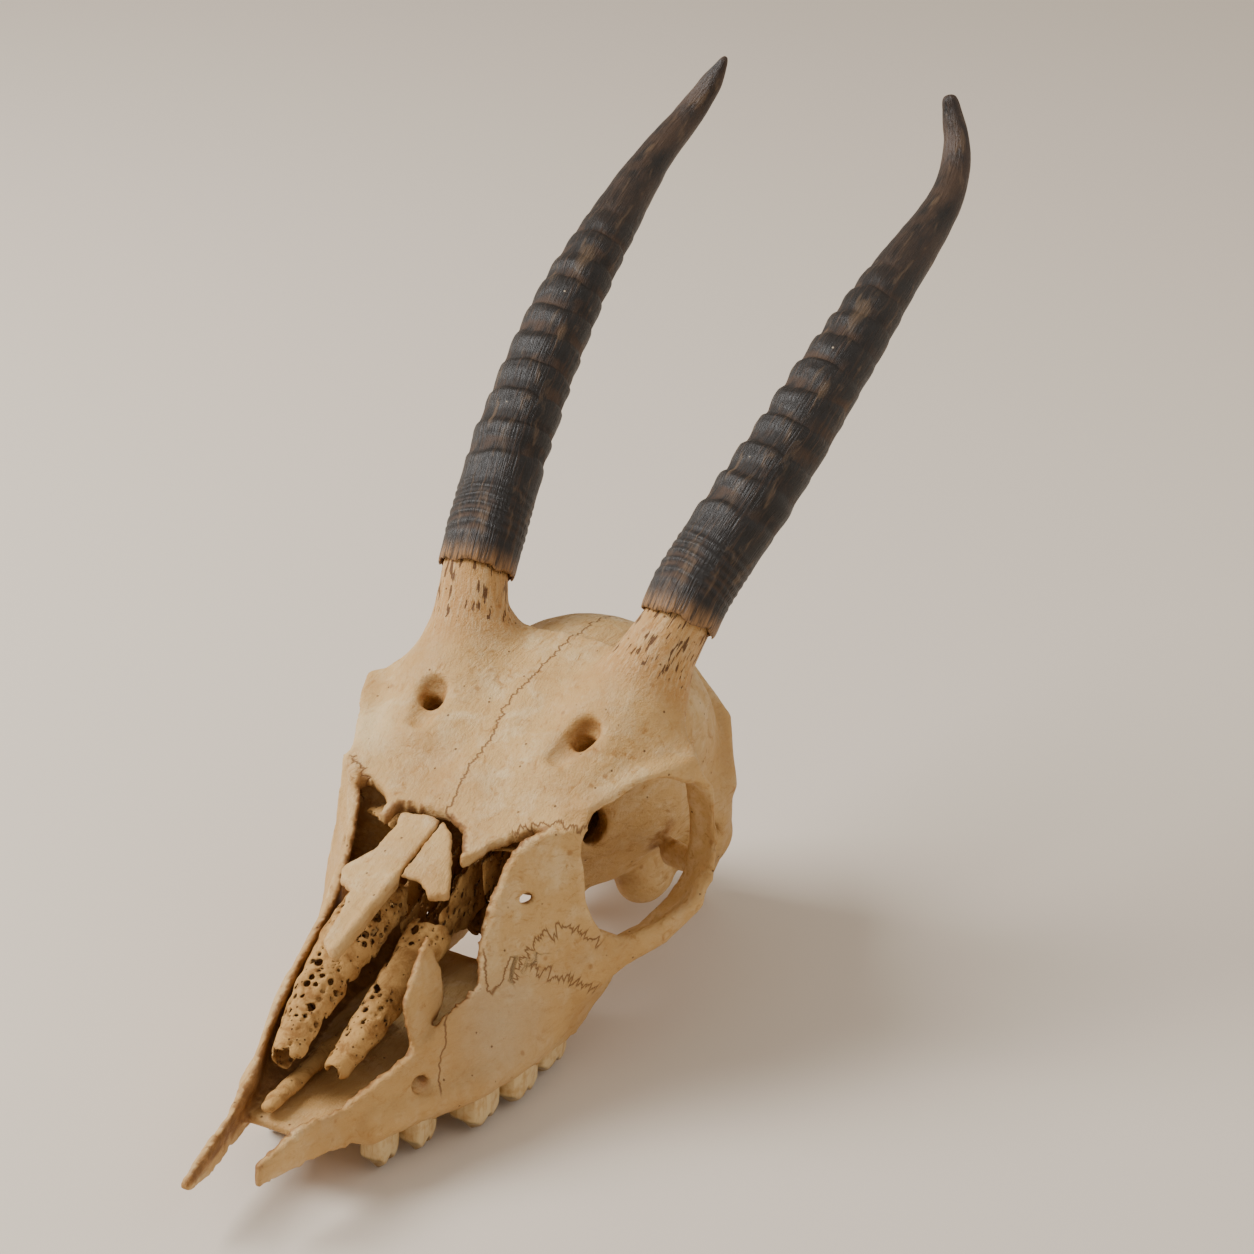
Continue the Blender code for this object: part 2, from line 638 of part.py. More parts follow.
def sheath_bore(line, side, radii):
    """Rings of the space inside a sheath, from its closed end down to the rim."""
    shares = np.linspace(HOLLOW_SHARE, 0.0, BORE_STATIONS)
    centres, along = smooth_line(line, shares)
    core = np.array(sided(HORN_LINE[RIM_POINT:CORE_POINTS], side))
    reach = np.array(CORE_RADII[RIM_POINT:])
    rings = []
    for k, (share, centre, direction) in enumerate(zip(shares, centres, along)):
        nearest = np.argmin(np.linalg.norm(core - centre, axis=1))
        room = reach[nearest] + CORE_GAP if k > 0 else BORE_END_RADIUS
        widest = np.interp(share, SHEATH_SHARES, radii) - SHEATH_WALL
        rings.append(horn_ring(centre, direction, min(room, widest)))
    return rings


def build_sheath(name, side, tip, finish):
    """Ringed horn sheath, hollow over the bony core."""
    line = sided(HORN_LINE[RIM_POINT:], side)
    radii = SHEATH_RADII + (tip,)
    stations = sheath_stations()
    centres, along = smooth_line(line, [share for share, _ in stations])
    rings = sheath_bore(line, side, radii)
    for (share, swell), centre, direction in zip(stations, centres, along):
        radius = np.interp(share, SHEATH_SHARES, radii) + swell
        rings.append(horn_ring(centre, direction, radius, FRONT_LEAN * max(swell, 0.0)))
    bm = bmesh.new()
    bridge(bm, rings)
    bmesh.ops.triangulate(bm, faces=bm.faces[:])
    thing = new_object(name, bm, finish)
    thing.data.shade_smooth()
    return thing


def build_scroll(name, path, radii, turn, finish):
    """Curled plate along a path: an arc of a tube with a thick wall."""
    points = [np.array(p, float) for p in path]
    arc = np.linspace(SCROLL_OPEN / 2, math.tau - SCROLL_OPEN / 2, SCROLL_SIDES) + turn
    rings = []
    for k, point in enumerate(points):
        before, after = points[max(k - 1, 0)], points[min(k + 1, len(points) - 1)]
        along = (after - before) / np.linalg.norm(after - before)
        side = np.cross(along, UPWARD)
        side /= np.linalg.norm(side)
        up = np.cross(side, along)
        spokes = [up * math.cos(t) + side * math.sin(t) for t in arc]
        outer = [point + spoke * radii[k] for spoke in spokes]
        inner = [point + spoke * (radii[k] - SCROLL_WALL) for spoke in reversed(spokes)]
        rings.append(outer + inner)
    bm = bmesh.new()
    bridge(bm, rings)
    bmesh.ops.triangulate(bm, faces=bm.faces[:])
    return new_object(name, bm, finish)


def build_nose_plate(name, outline, finish):
    """Separate flat bone over the nose."""
    bm = bmesh.new()
    add_plate(bm, outline, nasal_middle, NASAL_HALF, 2, cell=8.0)
    return new_object(name, bm, finish)


def main():
    clear_scene()
    bone = material("dry_bone", (0.62, 0.47, 0.29), 0.6)
    thin_bone = material("thin_brown_bone", (0.42, 0.27, 0.13), 0.65)
    horn = material("dark_horn", (0.022, 0.016, 0.012), 0.45)
    enamel = material("tooth_enamel", (0.55, 0.42, 0.26), 0.4)

    skull = build_skull(bone)
    build_sheath("horn_sheath_left", 1, LEFT_TIP_RADIUS, horn)
    build_sheath("horn_sheath_right", -1, RIGHT_TIP_RADIUS, horn)
    for side, word in ((1, "left"), (-1, "right")):
        for name, size in TEETH.items():
            build_tooth(f"{name}_{word}", size, side, enamel)
    build_nose_plate("nasal_left", LEFT_NASAL, bone)
    build_nose_plate("nasal_right", RIGHT_NASAL, bone)
    build_scroll("turbinate_left", LEFT_SCROLL, LEFT_SCROLL_RADII, -SCROLL_TURN, thin_bone)
    build_scroll("turbinate_right", RIGHT_SCROLL, RIGHT_SCROLL_RADII, SCROLL_TURN, thin_bone)
    vomer = bmesh.new()
    add_bar(vomer, VOMER, sides=VOMER_SIDES)
    bmesh.ops.triangulate(vomer, faces=vomer.faces[:])
    new_object("vomer", vomer, thin_bone)


main()
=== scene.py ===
"""Dressed model of the antelope skull: natural bone, horn sheaths, cheek teeth and nose bones.

Lengths are millimetres in the skull's own layout: x to the animal's left, y back from the
muzzle tip, z up from the plane that the teeth stand on. `place` turns them into the frame.
"""

import json
import logging
import math
from dataclasses import dataclass, field
from enum import Enum
from typing import Callable, Sequence

import bpy
import numpy as np
from mathutils import Matrix, Vector

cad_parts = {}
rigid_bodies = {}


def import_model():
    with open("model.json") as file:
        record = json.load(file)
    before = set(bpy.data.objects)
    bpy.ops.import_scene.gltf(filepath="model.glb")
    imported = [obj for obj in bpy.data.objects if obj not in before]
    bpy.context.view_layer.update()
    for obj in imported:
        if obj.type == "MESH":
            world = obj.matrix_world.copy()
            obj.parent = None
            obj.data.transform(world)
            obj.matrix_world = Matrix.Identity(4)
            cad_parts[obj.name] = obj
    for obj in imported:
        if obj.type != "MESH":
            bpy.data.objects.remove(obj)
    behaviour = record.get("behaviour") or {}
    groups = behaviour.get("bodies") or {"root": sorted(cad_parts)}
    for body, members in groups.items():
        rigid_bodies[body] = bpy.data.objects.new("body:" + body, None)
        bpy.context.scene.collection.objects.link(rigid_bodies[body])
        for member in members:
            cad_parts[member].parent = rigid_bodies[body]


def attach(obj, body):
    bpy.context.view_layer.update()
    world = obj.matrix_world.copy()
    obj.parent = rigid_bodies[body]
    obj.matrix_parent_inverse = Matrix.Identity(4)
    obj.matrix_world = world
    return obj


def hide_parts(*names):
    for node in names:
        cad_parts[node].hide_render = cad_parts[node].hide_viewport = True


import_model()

log = logging.getLogger("skull")

Array = np.ndarray
Point = tuple[float, float, float]
Flat = tuple[float, float]

MM = 0.001
MIDDLE_Y = 125.2
FAR = 12.0
ACROSS: Point = (1.0, 0.0, 0.0)
ALONG: Point = (0.0, 1.0, 0.0)
UPWARD: Point = (0.0, 0.0, 1.0)
SIDES = (1, -1)


class Slot(Enum):
    """Material slots of the record."""

    BONE = "bone"
    THIN_BONE = "thin_bone"
    HORN = "horn"
    TOOTH = "tooth"


class Sheet(Enum):
    """How a bone plate lies: x = surface(y, z) or z = surface(x, y)."""

    UPRIGHT = 0
    LEVEL = 2


def place(points: Array) -> Array:
    """Skull layout in millimetres to the frame in metres."""
    return (np.asarray(points, float) - (0.0, MIDDLE_Y, 0.0)) * MM


def layout(points: Array) -> Array:
    """The frame in metres back to the skull layout in millimetres."""
    return np.asarray(points, float) / MM + (0.0, MIDDLE_Y, 0.0)


def ease(share: Array) -> Array:
    """Smooth step of shares between 0 and 1."""
    share = np.clip(share, 0.0, 1.0)
    return share * share * (3.0 - 2.0 * share)


def unit(vector: Array) -> Array:
    """Vector, or rows of vectors, of length one."""
    vector = np.asarray(vector, float)
    return vector / np.linalg.norm(vector, axis=-1, keepdims=True)


# Natural unevenness


def lattice(cells: Array, seed: int) -> Array:
    """Repeatable numbers from -1 to 1 for whole-numbered places.

    Args:
        cells: Rows of three whole numbers.
        seed: Which set of numbers.

    Returns:
        One number for each row.
    """
    mixed = cells[:, 0] * 374761393 + cells[:, 1] * 668265263 + cells[:, 2] * 1440662683
    mixed = (mixed + seed * 1274126177) & 0xFFFFFFFF
    mixed = ((mixed ^ (mixed >> 13)) * 1274126177) & 0xFFFFFFFF
    mixed = mixed ^ (mixed >> 16)
    return mixed / 2147483648.0 - 1.0


def unevenness(points: Array, size: float, seed: int) -> Array:
    """Smooth random relief.

    Args:
        points: Rows of places in millimetres.
        size: Distance from one swelling to the next, in millimetres.
        seed: Which relief.

    Returns:
        One height from about -1 to 1 for each place.
    """
    scaled = points / size
    base = np.floor(scaled).astype(np.int64)
    part = ease(scaled - base)
    total = np.zeros(len(points))
    for corner in np.ndindex(2, 2, 2):
        weight = np.prod(np.where(np.array(corner) > 0, part, 1.0 - part), axis=1)
        total += weight * lattice(base + corner, seed)
    return total


def pore_distance(points: Array, spacing: float, seed: int) -> Array:
    """Distance from each place to the middle of the nearest pore.

    Args:
        points: Rows of places in millimetres.
        spacing: Distance from one pore to the next.
        seed: Which set of pores.

    Returns:
        One distance in millimetres for each place.
    """
    scaled = points / spacing
    base = np.floor(scaled).astype(np.int64)
    nearest = np.full(len(points), 9.0)
    for offset in np.ndindex(3, 3, 3):
        cell = base + np.array(offset) - 1
        middle = np.stack([lattice(cell, seed + axis) for axis in range(3)], axis=1)
        gap = cell + 0.5 + 0.42 * middle - scaled
        nearest = np.minimum(nearest, np.einsum("ij,ij->i", gap, gap))
    return np.sqrt(nearest) * spacing


# Bone shapes, each a distance from its surface: negative inside


@dataclass(frozen=True)
class Blob:
    """Ball stretched to three radii."""

    centre: Point
    radii: Point

    def sided(self, side: int) -> "Blob":
        """The same ball on the other side of the skull."""
        return Blob((side * self.centre[0], *self.centre[1:]), self.radii)

    def bounds(self) -> tuple[Array, Array]:
        """Lowest and highest corner."""
        centre, radii = np.array(self.centre), np.array(self.radii)
        return centre - radii, centre + radii

    def distance(self, x: Array, y: Array, z: Array) -> Array:
        """Distance of places from the ball's surface."""
        gaps = [axis - middle for axis, middle in zip((x, y, z), self.centre)]
        near = sum((gap / radius) ** 2 for gap, radius in zip(gaps, self.radii)) ** 0.5
        steep = sum((gap / radius**2) ** 2 for gap, radius in zip(gaps, self.radii)) ** 0.5
        return near * (near - 1.0) / (steep + 1e-6)


@dataclass(frozen=True)
class Limb:
    """Bar along a path: half-width `broad` towards a direction, `thin` across it."""

    path: tuple[Point, ...]
    broad: Sequence[float] | float
    thin: Sequence[float] | float
    towards: Point = UPWARD

    def sided(self, side: int) -> "Limb":
        """The same bar on the other side of the skull."""
        path = tuple((side * x, y, z) for x, y, z in self.path)
        towards = (side * self.towards[0], *self.towards[1:])
        return Limb(path, self.broad, self.thin, towards)

    def bounds(self) -> tuple[Array, Array]:
        """Lowest and highest corner."""
        points = np.array(self.path, float)
        widest = max(np.max(self.broad), np.max(self.thin))
        return points.min(0) - widest, points.max(0) + widest

    def distance(self, x: Array, y: Array, z: Array) -> Array:
        """Distance of places from the bar's surface."""
        points = np.array(self.path, float)
        broads = np.broadcast_to(np.array(self.broad, float), len(points))
        thins = np.broadcast_to(np.array(self.thin, float), len(points))
        towards = unit(self.towards)
        best = None
        for k in range(len(points) - 1):
            start = points[k]
            length = np.linalg.norm(points[k + 1] - start)
            along = (points[k + 1] - start) / length
            up = unit(towards - (towards @ along) * along)
            beside = np.cross(along, up)
            gap = (x - start[0], y - start[1], z - start[2])
            far = sum(g * a for g, a in zip(gap, along))
            share = np.clip(far / length, 0.0, 1.0)
            over = far - share * length
            broad = broads[k] + (broads[k + 1] - broads[k]) * share
            thin = thins[k] + (thins[k + 1] - thins[k]) * share
            small = np.minimum(broad, thin)
            a = sum(g * u for g, u in zip(gap, up))
            b = sum(g * s for g, s in zip(gap, beside))
            near = np.sqrt((a / broad) ** 2 + (b / thin) ** 2 + (over / small) ** 2)
            steep = (a / broad**2) ** 2 + (b / thin**2) ** 2 + (over / small**2) ** 2
            reach = near * (near - 1.0) / (np.sqrt(steep) + 1e-6)
            best = reach if best is None else np.minimum(best, reach)
        return best


def outline_distance(u: Array, v: Array, outline: Sequence[Flat]) -> Array:
    """Distance of places from a closed flat outline, negative inside it.

    Args:
        u: First coordinate of the places.
        v: Second coordinate of the places.
        outline: Corners of the outline.

    Returns:
        One distance for each place.
    """
    corners = np.array(outline, float)
    shape = np.broadcast(u, v).shape
    nearest = np.full(shape, 1e9)
    inside = np.zeros(shape, bool)
    for a, b in zip(corners, np.roll(corners, -1, axis=0)):
        edge = b - a
        share = np.clip(((u - a[0]) * edge[0] + (v - a[1]) * edge[1]) / (edge @ edge), 0, 1)
        gap = (u - a[0] - edge[0] * share) ** 2 + (v - a[1] - edge[1] * share) ** 2
        nearest = np.minimum(nearest, gap)
        if a[1] != b[1]:
            crossing = edge[0] * (v - a[1]) / edge[1] + a[0]
            inside ^= ((a[1] > v) != (b[1] > v)) & (u < crossing)
    nearest = np.sqrt(nearest)
    return np.where(inside, -nearest, nearest)


@dataclass(frozen=True)
class Plate:
    """Bone plate on a surface, with a rounded and, where it broke, ragged edge."""

    outline: Sequence[Flat]
    surface: Callable[[Array, Array], Array]
    half: float
    lies: Sheet
    side: int = 1
    ragged: float = 0.0
    seed: int = 0
    rounding: float = 0.6

    def bounds(self) -> tuple[Array, Array]:
        """Lowest and highest corner."""
        low, high = np.min(self.outline, axis=0), np.max(self.outline, axis=0)
        grid = np.meshgrid(np.linspace(low[0], high[0], 15), np.linspace(low[1], high[1], 15))
        level = self.surface(*grid)
        if self.lies is Sheet.UPRIGHT:
            level = level * self.side
            ends = (level.min() - self.half, *low), (level.max() + self.half, *high)
        else:
            ends = (*low, level.min() - self.half), (*high, level.max() + self.half)
        return np.array(ends[0]), np.array(ends[1])

    def distance(self, x: Array, y: Array, z: Array) -> Array:
        """Distance of places from the plate's surface."""
        upright = self.lies is Sheet.UPRIGHT
        u, v, w = (y, z, x * self.side) if upright else (x, y, z)
        reach = 0.5
        level = self.surface(u, v)
        slope_u = (self.surface(u + reach, v) - level) / reach
        slope_v = (self.surface(u, v + reach) - level) / reach
        steep = np.sqrt(1.0 + slope_u**2 + slope_v**2)
        across = np.abs(w - level) / steep - self.half
        edge = outline_distance(u, v, self.outline)
        if self.ragged:
            edge = edge + self.ragged * ragged_edge(u, v, self.seed)
        soft = np.hypot(np.maximum(across + self.rounding, 0), np.maximum(edge + self.rounding, 0))
        corner = (across > -self.rounding) & (edge > -self.rounding)
        return np.where(corner, soft - self.rounding, np.maximum(across, edge))


def ragged_edge(u: Array, v: Array, seed: int) -> Array:
    """How far a broken edge stands in or out.

    Args:
        u: First coordinate of the places.
        v: Second coordinate of the places.
        seed: Which break.

    Returns:
        One offset from about -1 to 1 for each place.
    """
    draw = np.random.default_rng(seed)
    total = 0.0
    for size, amount in ((6.0, 0.5), (2.6, 0.35), (1.2, 0.3)):
        start = draw.uniform(0.0, math.tau, 3)
        turn = draw.uniform(0.0, math.pi, 2)
        a = (u * math.cos(turn[0]) + v * math.sin(turn[0])) * math.tau / size
        b = (u * math.cos(turn[1]) + v * math.sin(turn[1])) * math.tau / size
        total = total + amount * np.sin(a + start[0] + np.sin(b + start[1])) * np.sin(b + start[2])
    return total


class Clay:
    """Block of distances from a surface, which shapes are added to and cut from."""

    def __init__(self, low: Point, high: Point, step: float) -> None:
        """Empty block.

        Args:
            low: Lowest corner.
            high: Highest corner.
            step: Distance between two places of the block.
        """
        self.low = np.array(low, float)
        self.step = step
        count = np.ceil((np.array(high) - self.low) / step).astype(int) + 1
        self.field = np.full(count, FAR, np.float32)

    def window(self, low: Array, high: Array) -> tuple[tuple[slice, ...], list[Array]]:
        """Part of the block between two corners, and the coordinates of its places."""
        count = np.array(self.field.shape)
        first = np.clip(np.floor((low - self.low) / self.step).astype(int), 0, count)
        last = np.clip(np.ceil((high - self.low) / self.step).astype(int) + 1, 0, count)
        axes = [
            (self.low[k] + self.step * np.arange(first[k], last[k])).astype(np.float32)
            for k in range(3)
        ]
        part = tuple(slice(a, b) for a, b in zip(first, last))
        return part, np.meshgrid(*axes, indexing="ij", sparse=True)

    def join(self, shape: Blob | Limb | Plate, blend: float, sign: int) -> None:
        """Blend a shape into the block: sign 1 adds it, sign -1 cuts it out.

        Args:
            shape: Shape to add or cut.
            blend: Width of the soft fillet where it meets what is there.
            sign: 1 or -1.
        """
        low, high = shape.bounds()
        margin = blend + 3 * self.step
        part, (x, y, z) = self.window(low - margin, high + margin)
        there = sign * self.field[part]
        new = shape.distance(x, y, z)
        share = np.clip(0.5 + 0.5 * (there - new) / blend, 0.0, 1.0)
        mixed = there * (1.0 - share) + new * share - blend * share * (1.0 - share)
        self.field[part] = sign * mixed

    def add(self, shape: Blob | Limb | Plate, blend: float = 2.0) -> None:
        """Add a shape with a soft fillet."""
        self.join(shape, blend, 1)

    def cut(self, shape: Blob | Limb | Plate, blend: float = 0.8) -> None:
        """Cut a shape out, with its edges softened."""
        self.join(shape, blend, -1)

    def near_surface(self, band: float) -> tuple[Array, Array]:
        """Which places lie near the surface, and where they are."""
        near = np.abs(self.field) < band
        return near, np.argwhere(near) * self.step + self.low

    def at(self, points: Array) -> Array:
        """Distance from the surface at any places, between those of the block."""
        where = np.clip((points - self.low) / self.step, 0, np.array(self.field.shape) - 1.001)
        first = where.astype(int)
        part = where - first
        total = np.zeros(len(points))
        for corner in np.ndindex(2, 2, 2):
            weight = np.prod(np.where(np.array(corner) > 0, part, 1.0 - part), axis=1)
            total += weight * self.field[tuple((first + corner).T)]
        return total

    def skin(self) -> tuple[Array, Array]:
        """Surface of the block as points and four-sided faces that look outwards."""
        field, count = self.field, self.field.shape
        inside = field < 0
        corners = list(np.ndindex(2, 2, 2))
        filled = sum(shifted(inside, corner).astype(np.int8) for corner in corners)
        crossed = (filled > 0) & (filled < 8)
        cells = np.argwhere(crossed)
        number = np.full(crossed.shape, -1, np.int64)
        number[crossed] = np.arange(len(cells))
        values = {c: field[tuple((cells + c).T)].astype(float) for c in corners}
        total, hits = np.zeros((len(cells), 3)), np.zeros(len(cells))
        for corner in corners:
            for axis in np.flatnonzero(np.array(corner) == 0):
                step = np.eye(3)[axis]
                here, there = values[corner], values[tuple(np.array(corner) + step.astype(int))]
                cross = (here < 0) != (there < 0)
                share = np.where(cross, here / np.where(cross, here - there, 1.0), 0.0)
                total += (np.array(corner) + share[:, None] * step) * cross[:, None]
                hits += cross
        points = (cells + total / hits[:, None]) * self.step + self.low
        faces = [self.walls(axis, inside, number, count) for axis in range(3)]
        return points, np.concatenate(faces)

    @staticmethod
    def walls(axis: int, inside: Array, number: Array, count: tuple[int, ...]) -> Array:
        """Faces across all edges of the block that run along one axis."""
        low, high = [slice(None)] * 3, [slice(None)] * 3
        low[axis], high[axis] = slice(0, -1), slice(1, None)
        solid = inside[tuple(low)]
        edges = np.argwhere(solid != inside[tuple(high)])
        u, v = [k for k in range(3) if k != axis]
        kept = (edges[:, u] > 0) & (edges[:, v] > 0)
        kept &= (edges[:, u] < count[u] - 1) & (edges[:, v] < count[v] - 1)
        edges = edges[kept]
        ring = []
        for back_u, back_v in ((1, 1), (0, 1), (0, 0), (1, 0)):
            cell = edges.copy()
            cell[:, u] -= back_u
            cell[:, v] -= back_v
            ring.append(number[tuple(cell.T)])
        ring = np.stack(ring, axis=1)
        outward = solid[tuple(edges.T)] != (axis == 1)
        ring[~outward] = ring[~outward][:, ::-1]
        return ring


def shifted(values: Array, corner: tuple[int, ...]) -> Array:
    """Block of values seen from one corner of its cells."""
    return values[tuple(slice(c, n - 1 + c) for c, n in zip(corner, values.shape))]


# The surfaces that the plates of the face lie on


def soft_table(values: Array, passes: int) -> Array:
    """Table with its steps smoothed out along each axis."""
    for _ in range(passes):
        for axis in range(values.ndim):
            padded = np.concatenate([
                values.take([0], axis), values, values.take([-1], axis)], axis)
            length = values.shape[axis]
            before = padded.take(range(length), axis)
            after = padded.take(range(2, length + 2), axis)
            values = 0.25 * before + 0.5 * values + 0.25 * after
    return values


@dataclass(frozen=True)
class FaceShape:
    """Surfaces of the forehead, the nose bones, the cheeks and the roof of the mouth."""

    forehead_y: Sequence[float] = (40.0, 60.0, 75.0, 84.9, 101.3, 117.8, 134.6, 150.0)
    forehead_z: Sequence[float] = (39.0, 46.5, 51.0, 54.7, 62.6, 69.6, 73.4, 74.0)
    brow_start: float = 23.0
    brow_drop: float = 8.7
    brow_reach: float = 14.7
    brow_curve: float = 1.3
    forehead_half: float = 1.3
    nasion_y: float = 84.9
    nasion_z: float = 54.7
    nasal_slope: float = 0.318
    nasal_flat: float = 2.0
    nasal_arch: float = 0.02
    nasal_half: float = 0.9
    cheek_heights: Sequence[float] = (8.0, 15.0, 25.0, 35.0, 45.0, 55.0)
    cheek_widths: Sequence[Sequence[float]] = (
        (5.0, 5.0, 4.6, 4.2, 4.0, 4.0),
        (6.8, 6.6, 5.8, 5.2, 5.0, 5.0),
        (8.6, 8.2, 7.0, 6.0, 5.5, 5.5),
        (11.0, 10.6, 8.8, 7.2, 6.5, 6.0),
        (13.8, 14.4, 12.4, 9.6, 8.0, 7.0),
        (17.6, 18.4, 15.8, 12.4, 10.5, 9.0),
        (21.2, 22.2, 18.8, 15.2, 12.5, 11.0),
        (23.6, 25.0, 22.4, 18.4, 15.0, 13.0),
        (24.8, 27.0, 26.8, 23.4, 20.0, 17.6),
        (24.6, 28.0, 31.0, 30.2, 28.6, 27.0),
        (24.0, 28.0, 33.0, 36.0, 36.0, 35.0),
    )
    cheek_step: float = 10.0
    palate_height: float = 13.2
    palate_arch: float = 0.004
    flap_foot: float = 15.4
    flap_lean: float = 0.33
    flap_lowest: float = 22.0

    def forehead(self, x: Array, y: Array) -> Array:
        """Height of the middle of the forehead plate."""
        fine = np.arange(30.0, 165.0)
        table = soft_table(np.interp(fine, self.forehead_y, self.forehead_z), 12)
        beside = np.maximum(0.0, np.abs(x) - self.brow_start) / self.brow_reach
        drop = self.brow_drop * beside**self.brow_curve
        return np.interp(y, fine, table) - drop - self.forehead_half

    def nasal(self, x: Array, y: Array) -> Array:
        """Height of the middle of a nose bone."""
        beside = np.maximum(0.0, np.abs(x) - self.nasal_flat)
        top = self.nasion_z - self.nasal_slope * (self.nasion_y - y)
        return top - self.nasal_arch * beside**2 - self.nasal_half

    def cheek(self, y: Array, z: Array) -> Array:
        """Half-width of the face, from a table smoothed between its stations."""
        table = self.cheek_table()
        low_z = self.cheek_heights[0]
        rows = np.clip(y, 0.0, table.shape[0] - 1.001)
        columns = np.clip(z - low_z, 0.0, table.shape[1] - 1.001)
        row, column = rows.astype(int), columns.astype(int)
        a, b = rows - row, columns - column
        near = table[row, column] * (1 - b) + table[row, column + 1] * b
        far = table[row + 1, column] * (1 - b) + table[row + 1, column + 1] * b
        return near * (1 - a) + far * a

    def cheek_table(self) -> Array:
        """Half-widths for each millimetre along and up the face."""
        stations = np.arange(len(self.cheek_widths)) * self.cheek_step
        heights = np.arange(self.cheek_heights[0], self.cheek_heights[-1] + 1.0)
        rows = [np.interp(heights, self.cheek_heights, row) for row in self.cheek_widths]
        fine = np.arange(stations[-1] + 1.0)
        columns = [np.interp(fine, stations, column) for column in np.array(rows).T]
        return soft_table(np.array(columns).T, 10)

    def palate(self, x: Array, y: Array) -> Array:
        """Height of the middle of the roof of the mouth."""
        return self.palate_height - self.palate_arch * x * x + 0.0 * y

    def flap(self, y: Array, z: Array) -> Array:
        """Distance of the broken cheek flap from the middle of the nose."""
        return self.flap_foot - self.flap_lean * (z - self.flap_lowest) + 0.0 * y


class Curve:
    """Smooth line through given points, with a frame that doesn't twist along it."""

    def __init__(self, points: Sequence[Point], steps: int = 12) -> None:
        """Smooth curve.

        Args:
            points: Points that the line passes through.
            steps: Pieces between two given points.
        """
        given = np.array(points, float)
        padded = np.vstack([2 * given[0] - given[1], given, 2 * given[-1] - given[-2]])
        fine = []
        for a, b, c, d in zip(padded, padded[1:], padded[2:], padded[3:]):
            for t in np.linspace(0.0, 1.0, steps, endpoint=False):
                bend = 2 * a - 5 * b + 4 * c - d
                twist = 3 * b - a - 3 * c + d
                fine.append(0.5 * (2 * b + (c - a) * t + bend * t * t + twist * t**3))
        self.points = np.array(fine + [given[-1]])
        gaps = np.linalg.norm(np.diff(self.points, axis=0), axis=1)
        self.lengths = np.r_[0.0, np.cumsum(gaps)]
        self.length = float(self.lengths[-1])
        self.along = unit(np.gradient(self.points, self.lengths, axis=0))
        side = unit(np.cross(self.along[0], UPWARD))
        sides = []
        for direction in self.along:
            side = unit(side - (side @ direction) * direction)
            sides.append(side)
        self.side = np.array(sides)
        self.front = np.cross(self.side, self.along)

    def read(self, values: Array, distance: Array) -> Array:
        """Values of the fine points at distances along the line."""
        return np.stack([np.interp(distance, self.lengths, axis) for axis in values.T], axis=-1)

    def straightened(self, points: Array) -> Array:
        """Places as if the line were straight.

        Args:
            points: Rows of places in millimetres.

        Returns:
            Rows of offset to the front, offset to the side, and distance along the line.
        """
        nearest = np.zeros(len(points), int)
        best = np.full(len(points), 1e9)
        for k in range(0, len(self.points), 3):
            gap = ((points - self.points[k]) ** 2).sum(axis=1)
            closer = gap < best
            nearest[closer], best[closer] = k, gap[closer]
        distance = self.lengths[nearest]
        for _ in range(3):
            gap = points - self.read(self.points, distance)
            along = unit(self.read(self.along, distance))
            distance = distance + np.einsum("ij,ij->i", gap, along)
        gap = points - self.read(self.points, distance)
        front = np.einsum("ij,ij->i", gap, unit(self.read(self.front, distance)))
        side = np.einsum("ij,ij->i", gap, unit(self.read(self.side, distance)))
        return np.stack([front, side, distance], axis=1)


HORN_LINE: Sequence[Point] = (
    (18.5, 121.0, 62.0), (20.6, 126.0, 70.0), (22.4, 130.4, 77.2), (24.0, 134.0, 82.0),
    (24.6, 138.0, 87.0), (25.8, 143.4, 92.0), (27.2, 149.4, 97.0), (28.7, 155.8, 102.0),
    (29.8, 162.7, 107.0), (31.0, 169.5, 112.0), (31.8, 176.3, 117.0), (32.6, 183.7, 122.0),
    (33.4, 191.8, 127.0), (33.9, 200.7, 132.0), (34.4, 210.3, 137.0), (35.1, 220.7, 142.0),
    (35.2, 231.3, 147.0), (33.8, 240.0, 152.0), (31.8, 244.8, 157.0), (29.5, 247.2, 162.0),
    (27.5, 248.3, 166.9),
)
RIM_POINT = 3
CORE_POINTS = 12
CORE_RADII = (12.5, 9.4, 7.6, 7.0, 6.9, 6.6, 6.2, 5.8, 5.2, 4.6, 3.8, 2.6)


def horn_points(side: int, first: int = 0) -> list[Point]:
    """Centre line of one horn, from a given point of the line to the tip."""
    return [(side * x, y, z) for x, y, z in HORN_LINE[first:]]


# Meshes


def deselect_all() -> None:
    """Leave nothing selected, so that an operator acts on the new piece alone."""
    if bpy.context.object and bpy.context.object.mode != "OBJECT":
        bpy.ops.object.mode_set(mode="OBJECT")
    for thing in bpy.context.view_layer.objects:
        thing.select_set(False)


def mesh_piece(name: str, points: Array, faces: Array) -> bpy.types.Object:
    """Object from points in millimetres and faces of equal size.

    Args:
        name: Name of the piece.
        points: Rows of places in the skull layout.
        faces: Rows of point numbers.

    Returns:
        The new object, selected and active.
    """
    mesh = bpy.data.meshes.new(name)
    size = faces.shape[1]
    mesh.vertices.add(len(points))
    mesh.vertices.foreach_set("co", place(points).ravel())
    mesh.loops.add(faces.size)
    mesh.loops.foreach_set("vertex_index", faces.ravel().astype(np.int32))
    mesh.polygons.add(len(faces))
    mesh.polygons.foreach_set("loop_start", np.arange(0, faces.size, size, dtype=np.int32))
    mesh.update(calc_edges=True)
    thing = bpy.data.objects.new(name, mesh)
    bpy.context.collection.objects.link(thing)
    deselect_all()
    thing.select_set(True)
    bpy.context.view_layer.objects.active = thing
    return thing


